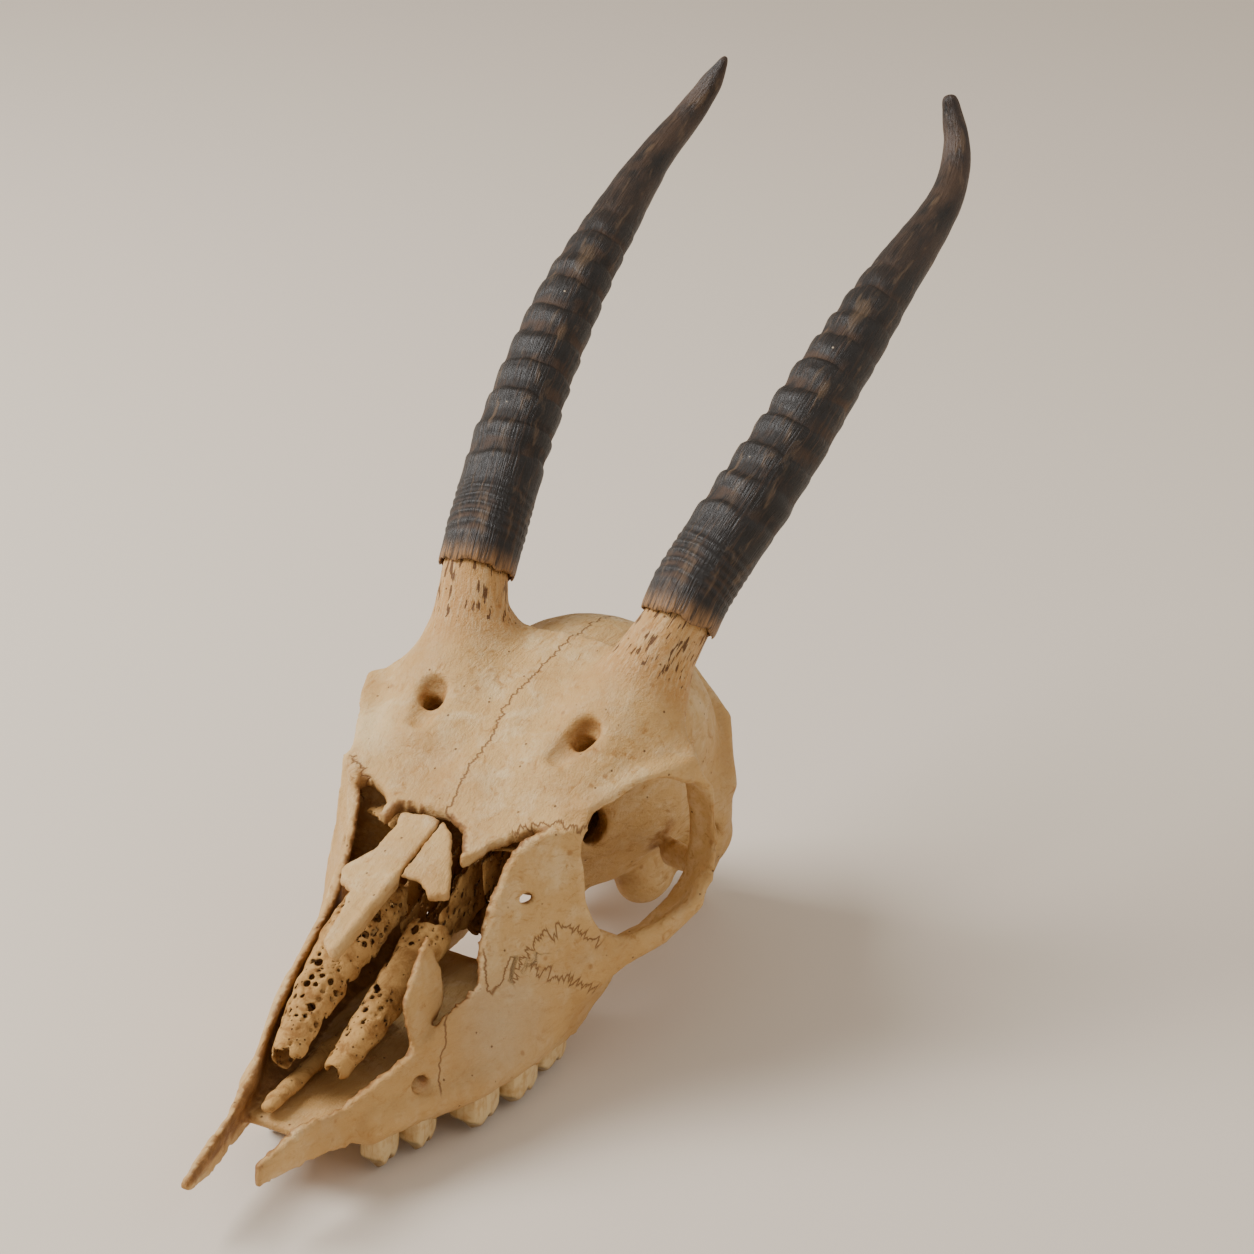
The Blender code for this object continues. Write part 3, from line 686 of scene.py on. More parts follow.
def apply_modifier(thing: bpy.types.Object, kind: str, **settings: object) -> None:
    """Add a modifier with its settings and apply it."""
    made = thing.modifiers.new(kind.title(), kind)
    for name, value in settings.items():
        setattr(made, name, value)
    bpy.context.view_layer.objects.active = thing
    bpy.ops.object.modifier_apply(modifier=made.name)


def corners_of(thing: bpy.types.Object) -> Array:
    """Points of an object in the skull layout."""
    flat = np.zeros(len(thing.data.vertices) * 3)
    thing.data.vertices.foreach_get("co", flat)
    return layout(flat.reshape(-1, 3))


def set_corners(thing: bpy.types.Object, points: Array) -> None:
    """Move the points of an object to places in the skull layout."""
    thing.data.vertices.foreach_set("co", place(points).ravel())
    thing.data.update()


def normals_of(thing: bpy.types.Object) -> Array:
    """Outward directions at the points of an object."""
    flat = np.zeros(len(thing.data.vertices) * 3)
    thing.data.vertex_normals.foreach_get("vector", flat)
    return flat.reshape(-1, 3)


def paint(thing: bpy.types.Object, name: str, values: Array) -> None:
    """Store a number or a vector for each point, for the finish to read."""
    if values.ndim == 1:
        made = thing.data.attributes.new(name, "FLOAT", "POINT")
        made.data.foreach_set("value", values.astype(np.float32))
    else:
        made = thing.data.attributes.new(name, "FLOAT_VECTOR", "POINT")
        made.data.foreach_set("vector", values.astype(np.float32).ravel())


def hand_over(
    thing: bpy.types.Object, finish: bpy.types.Material, slot: Slot, *nodes: str
) -> None:
    """Dress a finished piece and give it its place in the frame.

    Args:
        thing: The piece.
        finish: Its material.
        slot: Material slot of the record; not used.
        nodes: CAD nodes that the piece stands for.
    """
    thing.data.materials.clear()
    thing.data.materials.append(finish)
    deselect_all()
    thing.select_set(True)
    bpy.context.view_layer.objects.active = thing
    bpy.ops.object.shade_smooth()
    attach(thing, "root")
    if nodes:
        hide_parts(*nodes)
    sizes = ", ".join(f"{1000 * side:.1f}" for side in thing.dimensions)
    log.info("%s: %d faces, %s mm", thing.name, len(thing.data.polygons), sizes)


def clay_piece(name: str, clay: Clay, most: int) -> bpy.types.Object:
    """Object from a block of clay, with at most so many triangles."""
    points, faces = clay.skin()
    thing = mesh_piece(name, points, faces)
    if 2 * len(faces) > most:
        apply_modifier(thing, "DECIMATE", ratio=most / (2 * len(faces)))
    return thing


def paint_hollows(thing: bpy.types.Object, clay: Clay) -> None:
    """Store how enclosed, how thin and how sharp the bone is at each point; the finishes paint shade into
    enclosed places and crevices from these.

    Args:
        thing: The piece.
        clay: The block that it was skinned from.
    """
    points, normals = corners_of(thing), normals_of(thing)
    for name, reach in (("crevice_shade", 1.6), ("hollow", 6.0)):
        open_share = clay.at(points + normals * reach) / reach
        paint(thing, name, np.clip(1.0 - open_share, 0.0, 1.0))
    depth = 1.5
    paint(thing, "thin", np.clip(1.0 + clay.at(points - normals * depth) / depth, 0.0, 1.0))
    reach = 1.3
    around = sum(clay.at(points + sign * reach * np.eye(3)[k]) for k in range(3) for sign in SIDES)
    paint(thing, "sharp", np.clip(around / 6.0 - clay.at(points), -1.0, 1.0))


# Finishes


def linear(code: str) -> tuple[float, float, float, float]:
    """An sRGB hex colour as the linear numbers that a shader takes."""
    parts = [int(code[k : k + 2], 16) / 255.0 for k in (1, 3, 5)]
    return (*(p / 12.92 if p <= 0.04045 else ((p + 0.055) / 1.055) ** 2.4 for p in parts), 1.0)


def add_node(
    tree: bpy.types.NodeTree, kind: str, inputs: dict[str | int, object], **settings: object
) -> bpy.types.Node:
    """Add a node with its settings and what goes into it.

    Args:
        tree: The material's node tree.
        kind: Type of node, without its prefix.
        inputs: Value or socket for each named or numbered input.
        settings: Values of the node's own properties.

    Returns:
        The new node.
    """
    made = tree.nodes.new(f"ShaderNode{kind}")
    for name, value in settings.items():
        setattr(made, name, value)
    for name, value in inputs.items():
        if isinstance(value, bpy.types.NodeSocket):
            tree.links.new(value, made.inputs[name])
        else:
            made.inputs[name].default_value = value
    return made


class Coat:
    """Material under construction: layers of colour and of relief over one another."""

    def __init__(self, name: str) -> None:
        """Empty material with its shader.

        Args:
            name: Name of the material.
        """
        self.material = bpy.data.materials.new(name)
        self.material.use_nodes = True
        self.tree = self.material.node_tree
        self.shader = self.tree.nodes["Principled BSDF"]
        self.place = self.add("TexCoord", {}).outputs["Object"]
        self.colour: object = None
        self.height: object = 0.0

    def add(self, kind: str, inputs: dict, **settings: object) -> bpy.types.Node:
        """Add a node to this material."""
        return add_node(self.tree, kind, inputs, **settings)

    def number(self, name: str) -> bpy.types.NodeSocket:
        """A number stored on the points of the piece."""
        return self.add("Attribute", {}, attribute_name=name).outputs["Fac"]

    def vector(self, name: str) -> bpy.types.NodeSocket:
        """A vector stored on the points of the piece."""
        return self.add("Attribute", {}, attribute_name=name).outputs["Vector"]

    def maths(self, operation: str, *values: object) -> bpy.types.NodeSocket:
        """Result of a sum or another operation on numbers."""
        inputs = dict(enumerate(values))
        return self.add("Math", inputs, operation=operation).outputs[0]

    def between(self, value: object, low: float, high: float) -> bpy.types.NodeSocket:
        """0 below one level, 1 above another, and soft between them."""
        inputs = {"Value": value, "From Min": low, "From Max": high}
        return self.add("MapRange", inputs, interpolation_type="SMOOTHSTEP").outputs[0]

    def stretched(self, base: object, sizes: Point) -> bpy.types.NodeSocket:
        """Coordinates divided by the size of a pattern along each axis, in millimetres."""
        scale = Vector([1.0 / (size * MM) for size in sizes])
        return self.add("Mapping", {"Vector": base, "Scale": scale}).outputs[0]

    def cloudy(
        self, base: object, sizes: Point, detail: float = 3.0, rough: float = 0.6, warp: float = 0.0
    ) -> bpy.types.NodeSocket:
        """Cloudy pattern from 0 to 1, with clouds of the given sizes."""
        inputs = {
            "Vector": self.stretched(base, sizes), "Scale": 1.0, "Detail": detail,
            "Roughness": rough, "Distortion": warp,
        }
        return self.add("TexNoise", inputs).outputs["Fac"]

    def specks(self, base: object, spacing: float, size: float, share: float) -> object:
        """Round specks of a size in millimetres on some of the places of a loose grid."""
        inputs = {"Vector": self.stretched(base, (spacing,) * 3), "Scale": 1.0}
        found = self.add("TexVoronoi", inputs)
        radius = size / spacing
        spot = self.maths("SUBTRACT", 1.0, self.between(found.outputs["Distance"], 0.4 * radius, radius))
        chance = self.add("SeparateColor", {0: found.outputs["Color"]}).outputs[0]
        return self.maths("MULTIPLY", spot, self.maths("LESS_THAN", chance, share))

    def tint(self, where: object, colour: str, strength: float = 1.0, mode: str = "MIX") -> None:
        """Lay a colour over what is there."""
        share = self.maths("MULTIPLY", where, strength)
        mixed = self.add(
            "Mix", {0: share, 6: self.colour, 7: linear(colour)}, data_type="RGBA", blend_type=mode
        )
        self.colour = mixed.outputs[2]

    def raise_by(self, value: object, amount: float) -> None:
        """Add relief of an amount in millimetres."""
        self.height = self.maths("MULTIPLY_ADD", value, amount, self.height)

    def finish(self, roughness: object, bump: float = 1.0) -> bpy.types.Material:
        """Join the layers to the shader.

        Args:
            roughness: Number or socket for the shader's roughness.
            bump: Strength of the relief.

        Returns:
            The finished material.
        """
        self.tree.links.new(self.colour, self.shader.inputs["Base Color"])
        if isinstance(roughness, bpy.types.NodeSocket):
            self.tree.links.new(roughness, self.shader.inputs["Roughness"])
        else:
            self.shader.inputs["Roughness"].default_value = roughness
        relief = self.add("Bump", {"Strength": bump, "Distance": MM, "Height": self.height})
        self.tree.links.new(relief.outputs[0], self.shader.inputs["Normal"])
        return self.material


@dataclass(frozen=True)
class DryBone:
    """Weathered dry bone: matt, ivory to tan, stained ochre where dirt stayed, with painted shade in its
    crevices and hollows.
    """

    name: str = "dry_bone"
    pale: str = "#DFC292"
    tan: str = "#B4864A"
    straw: str = "#CEA76D"
    ochre: str = "#94602A"
    umber: str = "#5A3617"
    deep: str = "#2A170A"
    grey: str = "#B9A68A"
    seam_colour: str = "#7E5630"
    core_colour: str = "#B87F40"

    def material(self) -> bpy.types.Material:
        """Build the finish of the skull."""
        coat = Coat(self.name)
        spot = coat.place
        # Porous bone takes dirt in clouds a few millimetres wide
        broad = coat.cloudy(spot, (26.0,) * 3, 3.0)
        clouds = coat.cloudy(spot, (6.5,) * 3, 5.0, 0.62, 0.4)
        fibres = coat.cloudy(spot, (0.9, 5.0, 0.9), 4.0, 0.6, 0.3)
        grain = coat.cloudy(spot, (0.45,) * 3, 3.0, 0.65)
        coat.colour = coat.add("RGB", {}).outputs[0]
        coat.colour.default_value = linear(self.straw)
        coat.tint(coat.between(clouds, 0.42, 0.68), self.pale, 0.85)
        coat.tint(coat.between(broad, 0.42, 0.66), self.tan, 0.6)
        blotches = coat.cloudy(spot, (2.6, 4.5, 2.6), 6.0, 0.7, 0.8)
        coat.tint(coat.between(blotches, 0.53, 0.68), self.tan, 0.75)
        coat.tint(coat.between(blotches, 0.62, 0.74), self.ochre, 0.55)
        coat.tint(coat.between(fibres, 0.5, 0.74), self.tan, 0.5)
        tone = coat.number("tone")
        coat.tint(coat.between(tone, 0.0, 1.0), self.pale, 0.8)
        coat.tint(coat.between(coat.maths("MULTIPLY", tone, -1.0), 0.0, 1.0), self.ochre, 0.6)
        coat.tint(coat.between(coat.number("grey"), 0.0, 1.0), self.grey, 0.6)
        # Horn core: orange-tan fibres with long dark slots near the sheath
        core = coat.number("core")
        straight = coat.vector("straight")
        strands = coat.cloudy(straight, (0.7, 0.7, 7.0), 4.0, 0.6, 0.2)
        slots = coat.cloudy(straight, (0.75, 0.75, 5.5), 2.0, 0.5, 0.1)
        rim = coat.number("rim")
        slot_line = coat.maths("SUBTRACT", 0.74, coat.maths("MULTIPLY", rim, 0.17))
        slot_mark = coat.between(coat.maths("SUBTRACT", slots, slot_line), 0.0, 0.05)
        slot_mark = coat.maths("MULTIPLY", slot_mark, core)
        coat.tint(core, self.core_colour, 0.45)
        coat.tint(coat.maths("MULTIPLY", coat.between(strands, 0.46, 0.62), core), self.pale, 0.4)
        # Painted shade: patchy ochre in enclosed places, ochre in crevices and umber deep in crevices; the
        # inner faces of the nose are painted ochre with umber patches; ochre patches on the thin broken
        # edges
        patchy = coat.between(coat.cloudy(spot, (3.2,) * 3, 4.0, 0.6, 0.5), 0.3, 0.62)
        hollow = coat.number("hollow")
        crevice_shade = coat.number("crevice_shade")
        inner = coat.number("inner")
        enclosed = coat.between(hollow, 0.42, 0.95)
        coat.tint(coat.maths("MULTIPLY", enclosed, patchy), self.ochre, 0.75)
        coat.tint(coat.between(crevice_shade, 0.25, 0.9), self.ochre, 0.7)
        coat.tint(inner, self.ochre, 0.72)
        coat.tint(coat.maths("MULTIPLY", inner, patchy), self.umber, 0.5)
        coat.tint(coat.between(crevice_shade, 0.6, 1.0), self.umber, 0.6)
        edge = coat.between(coat.number("sharp"), 0.22, 0.6)
        coat.tint(coat.maths("MULTIPLY", edge, patchy), self.ochre, 0.65)
        coat.tint(slot_mark, self.umber, 0.9)
        # Fine dark pinholes where vessels entered, and brown specks
        pinholes = coat.specks(spot, 3.2, 0.34, 0.6)
        specks = coat.specks(spot, 5.0, 0.8, 0.45)
        coat.tint(specks, self.ochre, 0.5)
        coat.tint(pinholes, self.umber, 0.8)
        seam = self.seam(coat)
        coat.tint(seam, self.seam_colour, 0.85)
        for value, amount in (
            (clouds, 0.4), (fibres, 0.4), (grain, 0.2), (blotches, -0.35), (pinholes, -0.22), (seam, -0.2),
            (coat.maths("MULTIPLY", strands, core), 0.5), (slot_mark, -0.5),
        ):
            coat.raise_by(value, amount)
        coat.shader.inputs["Subsurface Weight"].default_value = 0.06
        coat.shader.inputs["Subsurface Radius"].default_value = (1.0, 0.5, 0.2)
        coat.shader.inputs["Subsurface Scale"].default_value = 0.0012
        coat.shader.inputs["Specular IOR Level"].default_value = 0.35
        return coat.finish(coat.maths("MULTIPLY_ADD", clouds, -0.2, 0.72), 0.8)

    def seam(self, coat: Coat) -> bpy.types.NodeSocket:
        """Wiggling line where two bones of the skull have grown together."""
        parts = coat.add("SeparateXYZ", {0: coat.vector("seam")})
        along, across = parts.outputs[0], parts.outputs[1]
        wave = coat.number("seam_wave")
        step = 0.12
        offsets = []
        for shift in (0.0, step):
            where = coat.maths("ADD", along, shift)
            inputs = {"W": where, "Scale": 0.55, "Detail": 2.5, "Roughness": 0.62}
            drawn = coat.add("TexNoise", inputs, noise_dimensions="1D").outputs["Fac"]
            centred = coat.maths("SUBTRACT", drawn, 0.5)
            offsets.append(coat.maths("MULTIPLY", centred, wave))
        slope = coat.maths("DIVIDE", coat.maths("SUBTRACT", offsets[1], offsets[0]), step)
        steep = coat.maths("SQRT", coat.maths("ADD", coat.maths("MULTIPLY", slope, slope), 1.0))
        gap = coat.maths("ABSOLUTE", coat.maths("ADD", across, offsets[0]))
        gap = coat.maths("DIVIDE", gap, steep)
        line = coat.maths("SUBTRACT", 1.0, coat.between(gap, 0.05, 0.3))
        return coat.maths("MULTIPLY", line, coat.number("seam_near"))


@dataclass(frozen=True)
class ThinBone:
    """Paper-thin porous bone from inside the nose: brown, rough, full of pinholes, with painted shade in
    its hollows and crevices.
    """

    name: str = "thin_brown_bone"
    light: str = "#C79B5E"
    brown: str = "#8A5A28"
    dark: str = "#3A2210"

    def material(self) -> bpy.types.Material:
        """Build the finish of the bones inside the nose."""
        coat = Coat(self.name)
        clouds = coat.cloudy(coat.place, (3.5,) * 3, 5.0, 0.65, 0.5)
        grain = coat.cloudy(coat.place, (0.5,) * 3, 4.0, 0.65)
        coat.colour = coat.add("RGB", {}).outputs[0]
        coat.colour.default_value = linear(self.light)
        coat.tint(coat.between(clouds, 0.4, 0.66), self.brown, 0.75)
        # Painted shade: browner in enclosed places, near black in crevices
        coat.tint(coat.between(coat.number("hollow"), 0.45, 1.0), self.brown, 0.8)
        coat.tint(coat.between(coat.number("crevice_shade"), 0.3, 0.95), self.dark, 0.8)
        pores = coat.specks(coat.place, 1.3, 0.26, 0.75)
        coat.tint(pores, self.dark, 0.75)
        for value, amount in ((clouds, 0.3), (grain, 0.25), (pores, -0.3)):
            coat.raise_by(value, amount)
        coat.shader.inputs["Specular IOR Level"].default_value = 0.25
        return coat.finish(0.82)


@dataclass(frozen=True)
class HornKeratin:
    """Black-brown keratin grown in layers: satin where handled, dusty brown in the grain."""

    name: str = "horn_keratin"
    black: str = "#17110D"
    brown: str = "#4A3525"
    dust: str = "#8A6F52"
    rim_tan: str = "#9A7248"

    def material(self) -> bpy.types.Material:
        """Build the finish of the sheaths."""
        coat = Coat(self.name)
        straight = coat.vector("straight")
        fibres = coat.cloudy(straight, (0.5, 0.5, 9.0), 4.0, 0.62, 0.15)
        plates = coat.cloudy(straight, (2.4, 2.4, 9.0), 4.0, 0.6, 0.6)
        clouds = coat.cloudy(straight, (5.0, 5.0, 11.0), 3.0, 0.6, 0.3)
        share = coat.number("share")
        raised = coat.number("raised")
        coat.colour = coat.add("RGB", {}).outputs[0]
        coat.colour.default_value = linear(self.black)
        coat.tint(coat.between(fibres, 0.5, 0.72), self.brown, 0.7)
        upper = coat.between(share, 0.5, 0.85)
        coat.tint(coat.maths("MULTIPLY", upper, coat.between(clouds, 0.3, 0.62)), self.brown, 0.85)
        groove = coat.between(coat.maths("MULTIPLY", raised, -1.0), 0.0, 0.5)
        coat.tint(coat.maths("MULTIPLY", groove, coat.between(clouds, 0.4, 0.6)), self.brown, 0.8)
        coat.tint(coat.maths("MULTIPLY", coat.between(plates, 0.56, 0.7), fibres), self.dust, 0.55)
        rim = coat.number("rim")
        coat.tint(coat.maths("MULTIPLY", rim, coat.between(fibres, 0.3, 0.6)), self.rim_tan, 0.95)
        specks = coat.specks(straight, 6.0, 0.28, 0.35)
        coat.tint(specks, "#C9B79A", 0.8)
        for value, amount in ((fibres, 0.55), (plates, 0.35)):
            coat.raise_by(value, amount)
        coat.shader.inputs["Specular IOR Level"].default_value = 0.45
        rough = coat.maths("MULTIPLY_ADD", fibres, 0.35, 0.28)
        return coat.finish(coat.maths("ADD", rough, coat.maths("MULTIPLY", groove, 0.2)), 0.8)


@dataclass(frozen=True)
class ToothEnamel:
    """Worn cheek tooth: glossy cream enamel, brown dentine and dark stained valleys."""

    name: str = "tooth_enamel"
    cream: str = "#DCC08C"
    honey: str = "#B98A4C"
    brown: str = "#5F3C1C"
    dark: str = "#24140A"

    def material(self) -> bpy.types.Material:
        """Build the finish of the cheek teeth."""
        coat = Coat(self.name)
        streaks = coat.cloudy(coat.place, (1.0, 1.0, 6.0), 4.0, 0.6, 0.3)
        clouds = coat.cloudy(coat.place, (2.6,) * 3, 3.0)
        low = coat.number("low")
        coat.colour = coat.add("RGB", {}).outputs[0]
        coat.colour.default_value = linear(self.cream)
        coat.tint(coat.between(clouds, 0.45, 0.7), self.honey, 0.6)
        coat.tint(coat.between(streaks, 0.5, 0.7), self.honey, 0.6)
        coat.tint(coat.between(low, 0.55, 1.0), self.brown, 0.6)
        coat.tint(coat.number("valley"), self.dark, 0.85)
        coat.raise_by(streaks, 0.2)
        return coat.finish(coat.maths("MULTIPLY_ADD", clouds, 0.3, 0.25))


@dataclass(frozen=True)
class StudioPaper:
    """Seamless matt paper under and behind the skull."""

    name: str = "studio_paper"
    colour: str = "#E3D7C8"

    def material(self) -> bpy.types.Material:
        """Build the finish of the floor."""
        coat = Coat(self.name)
        coat.colour = coat.add("RGB", {}).outputs[0]
        coat.colour.default_value = linear(self.colour)
        coat.tint(coat.cloudy(coat.place, (300.0,) * 3, 2.0), "#D9CDBD", 0.25)
        return coat.finish(0.9)


# The skull


@dataclass(frozen=True)
class Seam:
    """Line where two bones meet: its path on the bone and how far it wiggles."""

    path: tuple[Point, ...]
    wave: float


@dataclass
class SkullBone:
    """All the bone that grew together, from the muzzle prongs to the horn cores."""

    finish: DryBone
    shape: FaceShape = field(default_factory=FaceShape)
    step: float = 0.7
    triangles: int = 188000
    wall: float = 0.95
    brain: Blob = Blob((0, 141, 45), (27, 27, 28))
    brain_wall: float = 2.6
    middle: Sequence[Blob] = (
        Blob((0, 152, 40), (24, 17, 25)),
        Blob((0, 124, 46), (19, 20, 23)),
        Blob((0, 138, 26), (15, 28, 10)),
        Blob((0, 109, 46), (13.5, 25, 17)),
    )
    cheek_back: Sequence[Flat] = (
        (36.0, 8.6), (38.0, 7.5), (97.0, 7.5), (100.0, 12.0), (99.5, 22.0), (96.5, 27.5),
        (92.0, 31.0), (88.5, 37.0), (87.5, 42.0), (88.5, 50.0), (91.5, 56.0),
    )
    left_cheek: Sequence[Flat] = (
        (84.0, 55.5), (80.0, 53.0), (76.0, 48.2), (73.0, 44.0), (68.9, 37.3), (65.5, 30.0),
        (59.5, 28.0), (50.5, 24.5), (43.8, 21.8), (30.1, 18.2), (19.5, 18.9), (7.6, 17.0),
        (7.2, 12.0), (20.0, 11.3), (30.0, 10.3),
    )
    right_cheek: Sequence[Flat] = (
        (84.0, 56.0), (80.0, 50.0), (74.0, 41.0), (70.0, 36.0), (57.0, 33.5), (44.0, 30.0),
        (36.0, 25.5), (29.0, 20.4), (18.0, 16.4), (0.8, 13.5), (0.6, 11.0), (12.0, 9.2),
        (20.0, 9.0), (30.0, 9.0),
    )
    palate: Sequence[Flat] = (
        (-8.0, 24.0), (-10.0, 34.0), (-18.0, 60.0), (-20.0, 97.0),
        (20.0, 97.0), (18.0, 60.0), (10.0, 34.0), (8.0, 24.0),
    )
    forehead_front: Sequence[Flat] = (
        (22.0, 85.6), (19.0, 86.0), (16.9, 83.6), (14.5, 81.9), (12.5, 79.5), (10.9, 76.6),
        (9.2, 74.2), (4.8, 81.2), (1.0, 83.2), (-10.6, 83.2), (-11.2, 79.0), (-13.6, 78.8),
        (-13.0, 83.0), (-19.0, 86.5), (-22.0, 85.6),
    )
    brow: Sequence[Flat] = (
        (27.5, 91.0), (33.0, 101.0), (38.5, 113.0), (38.5, 118.0), (28.0, 126.0), (20.0, 134.0),
    )
    socket_rim: Sequence[Point] = (
        (27.5, 92.5, 57.9), (32.4, 104.0, 60.6), (37.7, 116.0, 61.2), (40.7, 119.6, 54.4),
        (42.7, 119.3, 43.7), (43.1, 116.6, 35.8), (41.2, 110.9, 31.2), (38.4, 103.4, 28.2),
        (35.3, 96.5, 27.9), (31.0, 90.6, 32.0), (29.1, 87.8, 39.7), (28.0, 88.5, 48.0),
        (27.5, 92.5, 57.9),
    )
    socket_axis: Point = (0.894, -0.408, 0.183)
    rim_depths: Sequence[float] = (
        2.4, 2.6, 3.4, 4.2, 4.6, 4.6, 4.2, 3.6, 3.0, 2.4, 2.2, 2.2, 2.4,
    )
    rim_thick: float = 1.35
    far_spread: float = 2.6
    bars: Sequence[tuple[Limb, float]] = (
        (Limb(((14, 100, 58), (17, 112, 62), (20, 124, 66)), 9.0, 5.0, ACROSS), 5.0),
        (Limb(tuple(HORN_LINE[:CORE_POINTS]), CORE_RADII, CORE_RADII, ACROSS), 5.0),
        (Limb(((29, 86, 23), (34, 95, 26.5), (38.5, 104, 28.5), (41, 112, 33)),
              (5.0, 3.4, 2.8, 2.8), 1.7), 2.0),
        (Limb(((40.5, 113, 34), (38.5, 121, 33), (33, 129, 31), (24, 134, 29)),
              (3.2, 2.8, 2.8, 3.4), (1.5, 1.4, 1.4, 2.0)), 2.0),
        (Limb(((12, 36, 12), (14.6, 46, 12), (19.4, 60, 12), (21, 74, 12), (20.6, 93, 12)),
              (4.7, 5.2, 6.2, 6.5, 6.3), 4.2, ACROSS), 1.6),
        (Limb(((11, 86, 15), (10, 104, 17), (9, 122, 22)), (5.5, 7.0, 4.0), 1.2), 2.0),
        (Limb(((26.5, 89, 40), (20, 91.5, 40), (15.5, 95, 40), (12.5, 100, 40),
               (11.5, 106, 40)), 15.0, 1.2), 1.6),
        (Limb(((23.5, 157, 21), (19.5, 162, 11), (15.5, 166.5, 0.9)),
              (4.5, 3.2, 1.8), (2.4, 1.9, 1.4), ALONG), 2.0),
        (Limb(((26, 156, 36), (21, 163, 47), (10, 167, 54), (0, 168.5, 55)), 2.4, 2.0), 3.0),
    )
    lumps: Sequence[tuple[Blob, float]] = (
        (Blob((19.5, 91, 16), (7.0, 8.5, 9.0)), 2.0),
        (Blob((13.5, 144, 16.5), (6.0, 8.5, 7.0)), 2.0),
        (Blob((20.5, 154, 28), (7.2, 8.5, 13.5)), 3.5),
        (Blob((8.5, 166.5, 21), (5.5, 5, 7)), 2.0),
    )
    nose_hollow: Blob = Blob((0, 84, 40), (12.0, 22, 11.5))
    spine_hole: Limb = Limb(((0, 150, 36), (0, 164, 31), (0, 180, 27)), 7.6, 6.6, ACROSS)
    nose_passage: Limb = Limb(((0, 84, 24), (0, 108, 24)), 8.5, 6.0, ACROSS)
    eye_hollows: Sequence[Blob] = (
        Blob((32, 106.5, 45.5), (19.0, 15.5, 14.5)),
        Blob((28, 97.5, 50), (10.0, 8.0, 7.6)),
    )
    holes: Sequence[tuple[Limb, float]] = (
        (Limb(((16.2, 99, 63.6), (17.2, 104.5, 65.6), (18.0, 107.5, 66.8)),
              (1.8, 2.8, 2.8), (1.2, 2.2, 3.0), ACROSS), 2.0),
        (Limb(((17.2, 105.5, 67), (19, 110, 59)), 2.3, 2.3, ACROSS), 0.8),
        (Limb(((22, 46, 16), (13, 47, 17)), 2.0, 1.7, ALONG), 0.8),
        (Limb(((25, 149.5, 27), (36, 148, 26)), 2.2, 2.2), 1.0),
        (Limb(((22, 111, 43.5), (9, 121, 38)), 4.2, 3.0), 1.0),
        (Limb(((24, 78.0, 43.2), (17, 81, 42.5)), 1.0, 1.5), 0.6),
    )
    flap: Sequence[Flat] = (
        (61.5, 40.5), (48.5, 32.0), (46.5, 22.0), (52.0, 23.5), (60.5, 27.0), (62.3, 32.0),
    )
    seams: Sequence[Seam] = (
        Seam(((0.0, 84.9, 54.7), (-0.4, 93.1, 58.8), (-0.1, 101.6, 62.7), (-1.9, 109.5, 66.1),
              (-1.4, 114.2, 68.1), (-0.6, 118.9, 69.6), (0, 134, 73), (0, 150, 73)), 2.2),
        Seam(((17.5, 85.2, 54.6), (19.6, 86.7, 55.6), (23.7, 88.3, 55.6), (27.1, 89.5, 55.2)), 5.0),
        Seam(((22.8, 72.4, 29.5), (23.3, 77.1, 34.1), (24.8, 80.5, 35.2), (27.1, 84.7, 36.0),
              (28.5, 86.0, 34.7), (30.4, 88.7, 32.2)), 6.5),
        Seam(((24.8, 76.8, 29.6), (27.6, 80.4, 26.3), (29.4, 84.0, 24.6), (31.4, 87.6, 21.5)), 6.5),
        Seam(((19.1, 67.2, 33.0), (20.4, 65.8, 28.8), (21.1, 66.6, 27.7), (21.5, 68.9, 28.7),
              (21.5, 71.1, 31.4)), 1.5),
        Seam(((-24.0, 88.5, 55.9), (-21.6, 87.0, 55.9), (-20.5, 86.6, 54.0), (-22.7, 88.4, 51.0)), 4.0),
        Seam(((18.0, 54.2, 25.0), (18.5, 53.6, 22.5), (18.4, 51.6, 20.0), (18.9, 50.4, 16.5)), 1.0),
    )
    tones: Sequence[tuple[Point, float, float]] = (
        ((-27.0, 98.0, 58.0), 9.0, 0.9),
        ((18.5, 104.0, 63.0), 6.5, -0.45),
        ((-18.5, 104.0, 63.0), 6.5, -0.45),
        ((22.0, 128.0, 74.0), 9.0, -0.4),
        ((8.0, 80.0, 54.0), 8.0, -0.35),
        ((-12.0, 80.0, 52.0), 8.0, -0.35),
        ((22.0, 70.0, 20.0), 10.0, 0.35),
    )

    def sided_parts(self, side: int) -> list[tuple[Blob | Limb | Plate, float]]:
        """Shapes of one side with the width of their fillets."""
        outline = tuple(self.left_cheek if side > 0 else self.right_cheek)
        cheek = Plate(
            tuple(self.cheek_back) + outline, self.shape.cheek, self.wall, Sheet.UPRIGHT,
            side, 0.55, 11 + side,
        )
        parts = [(bar.sided(side), blend) for bar, blend in self.bars]
        parts += [(lump.sided(side), blend) for lump, blend in self.lumps]
        parts += [(cheek, 1.5), (self.rim(side), 1.8)]
        return parts

    def rim(self, side: int) -> Limb:
        """Rim of one eye socket; the right brow stands out a little further."""
        spread = self.far_spread if side < 0 else 0.0
        axis = np.array(self.socket_axis)
        line = []
        for point, depth in zip(self.socket_rim, self.rim_depths):
            x, y, z = point
            if z > 40.0:
                x += spread * math.exp(-(((y - 110.0) / 9.0) ** 2))
            line.append(tuple(np.array((x, y, z)) - axis * depth))
        return Limb(tuple(line), self.rim_depths, self.rim_thick, tuple(axis)).sided(side)

